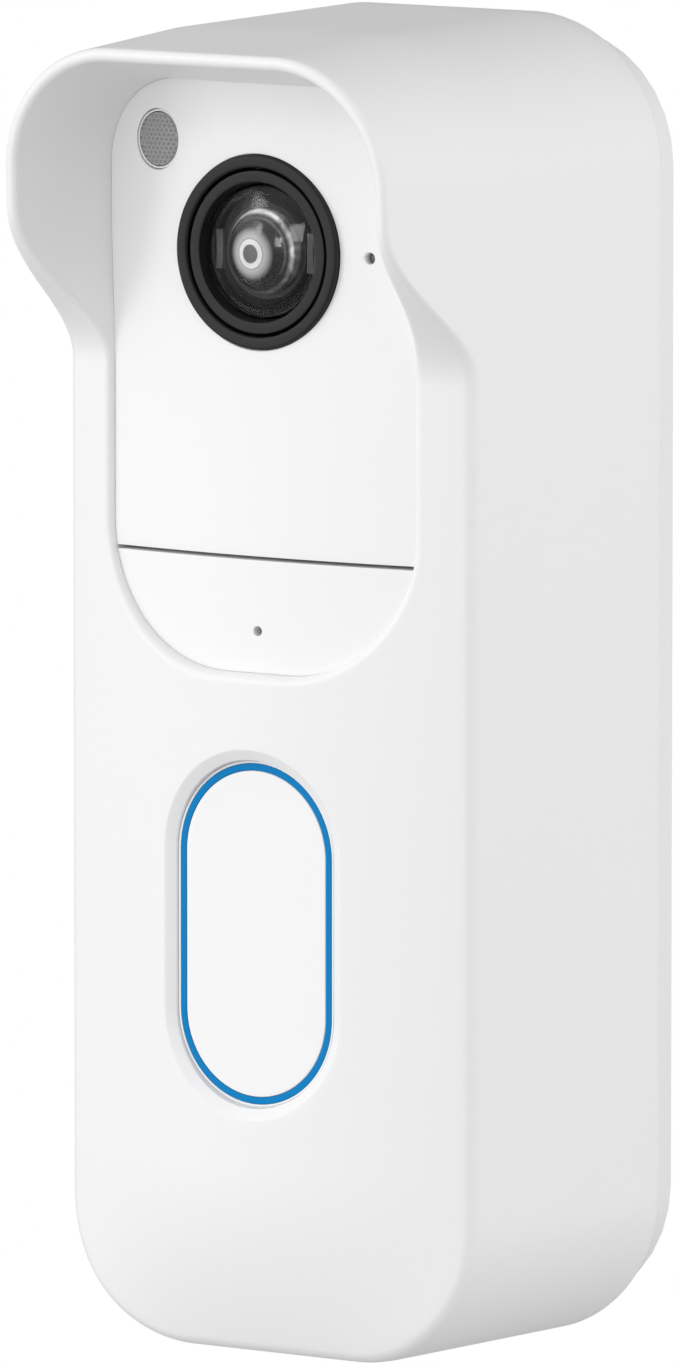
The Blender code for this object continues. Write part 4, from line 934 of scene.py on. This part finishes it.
REACH = 4.6 * MM
# stops of the painted reflection rings, as (share of the reach, grey)
INNER_REFLECTION_RINGS = [(0.0, 0.05), (0.2, 0.07), (0.22, 0.62), (0.32, 0.66), (0.335, 0.28), (0.35, 0.28),
               (0.37, 0.42), (0.48, 0.27), (0.56, 0.09), (0.61, 0.0)]
OUTER_REFLECTION_RINGS = [(0.62, 0.0), (0.72, 0.02), (0.765, 0.14), (0.8, 0.03), (0.84, 0.12), (0.89, 0.6),
               (0.92, 0.6), (0.97, 0.1)]
# painted reflections and painted glow, used on the front lens and on the rear lens
painted_lens_reflections = painted_reflection_lens("lens with painted reflections", (LENS[0] - 0.95 * MM, LENS[1] - 0.22 * MM),
                     (LENS[0] - 0.45 * MM, LENS[1] - 0.05 * MM), REACH, INNER_REFLECTION_RINGS, OUTER_REFLECTION_RINGS)
barrel_low, _ = box_of("lens_barrel")
LENS_BASE = -barrel_low[1]
LENS_RADIUS = 4.4 * MM
lens_dome = dome(LENS_RADIUS, 1.2 * MM, LENS_BASE + 0.4 * MM)
lens_profile = np.vstack([[(0, LENS_BASE - 1.4 * MM), (LENS_RADIUS, LENS_BASE - 1.4 * MM)], lens_dome])
front_lens = plain_turned("front_element", lens_profile, LENS, painted_lens_reflections)
place(front_lens, "doorbell", "coated_glass", "front_lens")
BAFFLE_INNER, BAFFLE_OUTER = 4.45 * MM, 6.8 * MM
BAFFLE_BACK = LENS_BASE - 2.0 * MM
steps_profile = [(BAFFLE_INNER, BAFFLE_BACK), (BAFFLE_OUTER, BAFFLE_BACK),
                 (BAFFLE_OUTER, LENS_BASE - 0.1 * MM), (6.1 * MM, LENS_BASE - 0.3 * MM),
                 (5.4 * MM, LENS_BASE - 0.3 * MM), (5.3 * MM, LENS_BASE - 0.1 * MM), (4.8 * MM, LENS_BASE),
                 (BAFFLE_INNER, LENS_BASE - 0.2 * MM), (BAFFLE_INNER, BAFFLE_BACK)]
baffle = turned("lens_baffle", steps_profile, [0.0] + [0.08 * MM] * 6, LENS, black_matt, 128)
place(baffle, "doorbell", "black_plastic")


def lamp_outline(inset):
    """Small upright rectangle at the lens's height."""
    return rounded_outline(0.38 * MM, LENS[1] - 2.0 * MM, LENS[1] + 2.0 * MM, 0.1 * MM, inset, 4)


for side, sign in (("left", -1), ("right", 1)):
    lamp = cap(f"infrared_lamp_{side}", lambda inset: lamp_outline(inset) + [sign * 5.55 * MM, 0],
               flat_at(LENS_BASE + 0.25 * MM), LENS_BASE - 1.5 * MM, 0.06 * MM, lamp_grey, rings=6)
    place(lamp, "doorbell", "led_body", f"infrared_led_{side}")
print("window top at", round(WINDOW_TOP / MM, 2), "lens base at", round(LENS_BASE / MM, 2))

# %% [markdown]
# ## Small features of the face
# The motion sensor's lens is a dimpled disc. The dimples lie on a honeycomb of rows, so a
# point's depth is a smooth bump of its distance to the nearest centre of the honeycomb,
# which is the nearer of two rectangular grids, one shifted by half a cell.


# %% Dimpled disc and light pipe
def honeycomb(x, z, pitch):
    """Distance to the nearest centre of a honeycomb with the given pitch."""
    wide, tall = pitch, pitch * math.sqrt(3)
    first = np.hypot(x - np.round(x / wide) * wide, z - np.round(z / tall) * tall)
    second = np.hypot(x - (np.floor(x / wide) + 0.5) * wide, z - (np.floor(z / tall) + 0.5) * tall)
    return np.minimum(first, second)


PITCH = 0.54 * MM
DIMPLE = 0.19 * MM
disc_front = face_depth(*DISC) - 0.45 * MM
share = np.linspace(0, 1, 100)[::-1, None]
angle = np.linspace(0, 2 * math.pi, 300, endpoint=False)
dx, dz = share * DISC_RADIUS * OVAL * np.cos(angle), share * DISC_RADIUS * np.sin(angle)
hollow = np.clip(1 - honeycomb(dx, dz, PITCH) / DIMPLE, 0, 1) * (share < 0.97)
disc_depth = disc_front + 0.3 * MM * (1 - share ** 2) - 0.2 * MM * np.sqrt(hollow)
disc_rows = np.stack([DISC[0] + dx, -disc_depth, DISC[1] + dz], axis=-1)
rim_loop = disc_rows[0][:, [0, 2]]
disc_back = -motion_high[1]
rows = list(fan(at_depth(rim_loop, disc_back), flat_at(disc_back), 3))[::-1]
grey_disc = moulded("grey sensor cover", (0.37, 0.37, 0.375), 0.45, 4000, 0.02, 0.03)
disc = solid("dimpled_disc", [grid(rows + list(disc_rows))], grey_disc, 60)
place(disc, "doorbell", "grey_lens", "motion_sensor_lens")
trim_profile = ring_profile(DISC_RADIUS + 0.3 * MM, DISC_RADIUS + 0.1 * MM, disc_front - 1.0 * MM,
                            disc_front + 0.05 * MM, 0.05 * MM)
disc_trim = turned("disc_trim", *trim_profile, DISC, white_face, 96)
disc_trim.data.transform(SQUEEZE)
place(disc_trim, "doorbell", "white_face")
pipe_radius = (pipe_high[0] - pipe_low[0]) / 2
pipe_profile = np.vstack([[(0, -pipe_high[1]), (pipe_radius, -pipe_high[1])],
                          dome(pipe_radius, 0.15 * MM, -pipe_low[1] - 0.15 * MM, 8)])
grey_pipe = moulded("smoked light pipe", (0.12, 0.12, 0.125), 0.25, 3000, 0.02, 0.03)
pipe = plain_turned("light_pipe", pipe_profile, PIPE, grey_pipe, 48)
place(pipe, "doorbell", "grey_light_pipe", "status_light_pipe")
print("disc has", len(disc.data.polygons), "faces")

# %% [markdown]
# ## The call button
# The white pill sits inside a blue lit ring, and a thin white frame holds both in the
# sleeve's window. Ring and frame meet the pill with hardly a gap. The pill rides on the
# body `button`, so it sinks when it is pressed while the ring and the frame stay.

# %% Button, ring and frame
button_low, button_high = box_of("call_button")
BUTTON_FRONT = -button_low[1]
blue = moulded("blue lit ring", (0.001, 0.21, 0.52), 0.5, 2500, 0.01, 0.01,
               Emission_Color=(0.0, 0.25, 0.7, 1.0), Emission_Strength=0.02, Specular_IOR_Level=0.1)
BUTTON_WIDTH, BUTTON_LENGTH = 16.9 * MM, 33.3 * MM
FRAME = (WINDOW_WIDTH - 0.02 * MM, WINDOW_LENGTH - 0.02 * MM)
HAIR = 0.04 * MM
LIT_WIDTH = 0.7 * MM


def pill_at(width, length):
    """Outline function of an upright slot of one size."""
    return lambda inset: pill_outline(width, length, BUTTON_Z, inset)


PAD = [size - 2 * LIT_WIDTH - 2 * HAIR for size in RING]
post_back = -button_high[1]
flange_front = FACE_BACK - 2.4 * MM
pad = cap("button_pad", pill_at(*PAD), flat_at(BUTTON_FRONT), FACE_BACK - 0.6 * MM, 0.12 * MM, white_face)
flange = cap("button_flange", pill_at(BUTTON_WIDTH + 2.2 * MM, BUTTON_LENGTH + 2.2 * MM),
             flat_at(flange_front), flange_front - 1.1 * MM, 0.15 * MM, white_shell)
stem = cap("button_stem", pill_at(BUTTON_WIDTH - 2.0 * MM, BUTTON_LENGTH - 2.0 * MM),
           flat_at(FACE_BACK - 0.5 * MM), flange_front - 0.2 * MM, 0.1 * MM, white_shell)
post = plain_turned("button_post", [(0, post_back), (1.35 * MM, post_back), (1.5 * MM, post_back + 0.15 * MM),
                                    (1.5 * MM, flange_front - 0.5 * MM), (0, flange_front - 0.5 * MM)],
                    (0.0, BUTTON_Z), white_shell, 48)
place(pad, "button", "white_face", "call_button")
for inner_piece in (flange, stem, post):
    place(inner_piece, "button", "white_face")
lit = collar("lit_ring", pill_at(*RING), pill_at(*[size - 2 * LIT_WIDTH for size in RING]), FACE_BACK,
             BUTTON_FRONT, 0.05 * MM, blue)
lip_size = [size + 2 * FRAME_LIP for size in RING]
frame_lip = collar("frame_lip", pill_at(*lip_size), pill_at(*[size + 2 * HAIR for size in RING]), FACE_BACK,
                   BUTTON_FRONT - 0.02 * MM, 0.03 * MM, white_face)
edge_frame = collar("pill_frame", pill_at(*FRAME), pill_at(*[size + 0.01 * MM for size in lip_size]),
                    FACE_BACK, BUTTON_FRONT - 0.16 * MM, 0.03 * MM, white_face)
place(frame_lip, "doorbell", "white_face")
place(lit, "doorbell", "blue_light", "light_ring")
place(edge_frame, "doorbell", "white_face", "button_frame")
print("ring", np.round(np.array(RING) / MM, 2), "frame", np.round(np.array(FRAME) / MM, 2))

# %% [markdown]
# ## What is behind and inside
# The other nodes keep their shapes. Flat mouldings and metal cans have crisp edges in
# the model, and no real edge is that sharp, so a merged copy with a small bevel stands
# for each of the seven below.


# %% Softened copies
def softened(node, body, slot, finish, width=0.15 * MM):
    """Merged copy of a CAD node with its sharp edges bevelled."""
    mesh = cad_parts[node].data.copy()
    shape = bmesh.new()
    shape.from_mesh(mesh)
    bmesh.ops.remove_doubles(shape, verts=shape.verts, dist=1e-6)
    bmesh.ops.dissolve_limit(shape, angle_limit=math.radians(0.5), verts=shape.verts, edges=shape.edges)
    shape.to_mesh(mesh)
    shape.free()
    mesh.materials.clear()
    mesh.materials.append(finish)
    mesh.shade_smooth()
    mesh.set_sharp_from_angle(angle=math.radians(40))
    piece = bpy.data.objects.new("soft_" + node, mesh)
    bpy.context.scene.collection.objects.link(piece)
    bevel = piece.modifiers.new("soft edges", "BEVEL")
    bevel.width = width
    bevel.segments = 2
    bevel.limit_method = "ANGLE"
    bevel.angle_limit = math.radians(40)
    bevel.harden_normals = True
    return place(piece, body, slot, node)


crisp = [("mounting_plate", "white_plate", white_shell), ("back_cover", "white_shell", white_shell),
         ("battery_tray", "grey_plastic", grey_plastic), ("release_latch", "grey_plastic", grey_plastic),
         ("speaker", "tinned_steel", tin), ("processor_shield", "tinned_steel", tin),
         ("tact_switch", "black_plastic", black_satin)]
for node, slot, finish in crisp:
    softened(node, "latch" if node == "release_latch" else "doorbell", slot, finish)
print("softened copies made")

# %% Finishes of the nodes that stay
shown = {"front_housing": white_shell, "cover_gasket": black_rubber, "button_seal": black_rubber,
         "microphone_gasket": black_rubber, "camera_board": board_green, "main_board": board_green,
         "image_sensor": silicon_die, "rear_lens": painted_lens_reflections, "lens_barrel": black_satin, "motion_sensor": tin,
         "microphone": tin, "speaker_mesh": black_rubber, "wifi_antenna": brass, "switch_plunger": tin,
         "latch_spring": steel}
shown.update({f"battery_{n}": wrap_film for n in (1, 2, 3)})
shown.update({f"battery_spring_{n}": steel for n in (1, 2, 3)})
shown.update({f"battery_contact_{n}": steel for n in (1, 2, 3)})
shown.update({f"housing_screw_{n}": steel for n in (1, 2, 3, 4)})
shown.update({f"terminal_screw_{side}": brass for side in ("left", "right")})
shown.update({f"ring_led_{n}": lamp_resin for n in (1, 2)})
for node, finish in shown.items():
    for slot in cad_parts[node].material_slots:
        slot.material = finish
print("finishes given to", len(shown), "nodes")

# %% [markdown]
# ## Camera, light and floor
# The doorbell hangs in front of white, lit softly from the front and a little from the
# right. A sky that brightens towards that side gives the even tones of a light tent: the
# front is brightest, the right side next, the top and bottom darkest. Two soft lamps at
# the left front throw the hood's shadow over the face plate, and one nearly straight
# ahead makes the glint in the camera's window.


# %% Camera
def towards(azimuth, elevation):
    """Unit vector: azimuth 0 is straight in front of the doorbell, 90 is to its right."""
    a, e = math.radians(azimuth), math.radians(elevation)
    return Vector((math.sin(a) * math.cos(e), -math.cos(a) * math.cos(e), math.sin(e)))


def aim(obj, target):
    """Turn an object so that its -Z axis points at the target."""
    obj.rotation_euler = (Vector(target) - obj.location).to_track_quat("-Z", "Y").to_euler()


target = Vector((-4.687 * MM, -19.3 * MM, -0.883 * MM))
lens = bpy.data.cameras.new("view")
lens.lens = 410.15
lens.sensor_width = 36.0
lens.clip_end = 30.0
viewer = bpy.data.objects.new("view", lens)
viewer.location = target + 1.61927 * towards(34.784, 6.835)
aim(viewer, target)
bpy.context.scene.collection.objects.link(viewer)
bpy.context.scene.camera = viewer


# %% Sky and lamps
def tent_sky(base, lobes):
    """Sky radiance base + sum of strength * max(0, direction . axis) ^ power; white to the eye."""
    world = bpy.data.worlds.new("light tent")
    world.use_nodes = True
    nodes, links = world.node_tree.nodes, world.node_tree.links
    nodes.clear()
    where = nodes.new("ShaderNodeTexCoord")
    total = None
    for strength, power, azimuth, elevation in lobes:
        axis = towards(azimuth, elevation)
        dot = added(nodes, "ShaderNodeVectorMath", {1: axis}, operation="DOT_PRODUCT")
        ahead = added(nodes, "ShaderNodeMath", {1: 0.0}, operation="MAXIMUM")
        narrow = added(nodes, "ShaderNodeMath", {1: power}, operation="POWER")
        add = added(nodes, "ShaderNodeMath", {1: strength, 2: base}, operation="MULTIPLY_ADD")
        wire(links, (where, "Generated", dot, 0), (dot, "Value", ahead, 0), (ahead, "Value", narrow, 0),
             (narrow, "Value", add, 0))
        if total is not None:
            wire(links, (total, "Value", add, 2))
        total = add
    lit = added(nodes, "ShaderNodeBackground", {"Color": (1, 1, 1, 1)})
    seen = added(nodes, "ShaderNodeBackground", {"Color": (1, 1, 1, 1)})
    path = nodes.new("ShaderNodeLightPath")
    either = nodes.new("ShaderNodeMixShader")
    out = nodes.new("ShaderNodeOutputWorld")
    wire(links, (total, "Value", lit, "Strength"), (path, "Is Camera Ray", either, "Fac"),
         (lit, "Background", either, 1), (seen, "Background", either, 2), (either, "Shader", out, "Surface"))
    bpy.context.scene.world = world


def soft_lamp(name, azimuth, elevation, distance, width, height, power):
    """Rectangular area lamp around the doorbell, aimed at its middle."""
    lamp = bpy.data.lights.new(name, "AREA")
    lamp.shape = "RECTANGLE"
    lamp.size = width
    lamp.size_y = height
    lamp.energy = power
    obj = bpy.data.objects.new(name, lamp)
    obj.location = target + distance * towards(azimuth, elevation)
    aim(obj, target)
    bpy.context.scene.collection.objects.link(obj)
    return obj


tent_sky(0.22, [(1.47, 2, 110, 0), (1.2, 2, -37, 25)])
soft_lamp("strip", -42, 0, 1.2, 0.3, 1.3, 1.7)
soft_lamp("key", -37, 23, 1.2, 0.2, 0.2, 0.9)
soft_lamp("front glint", -3, 11, 1.2, 0.2, 0.22, 1.5)
bpy.context.scene.view_settings.view_transform = "Standard"

# %% Floor
floor_white = moulded("studio floor", (0.62, 0.62, 0.62), 0.8, 200, 0.02, 0.01)
drop = cad_box[0][2] - 0.25
half = 0.7
floor_points = np.array([(-half, -half, drop), (half, -half, drop), (half, half, drop), (-half, half, drop)])
floor = solid("studio_floor", [(floor_points, np.array([[0, 1, 2, 3]]))], floor_white)
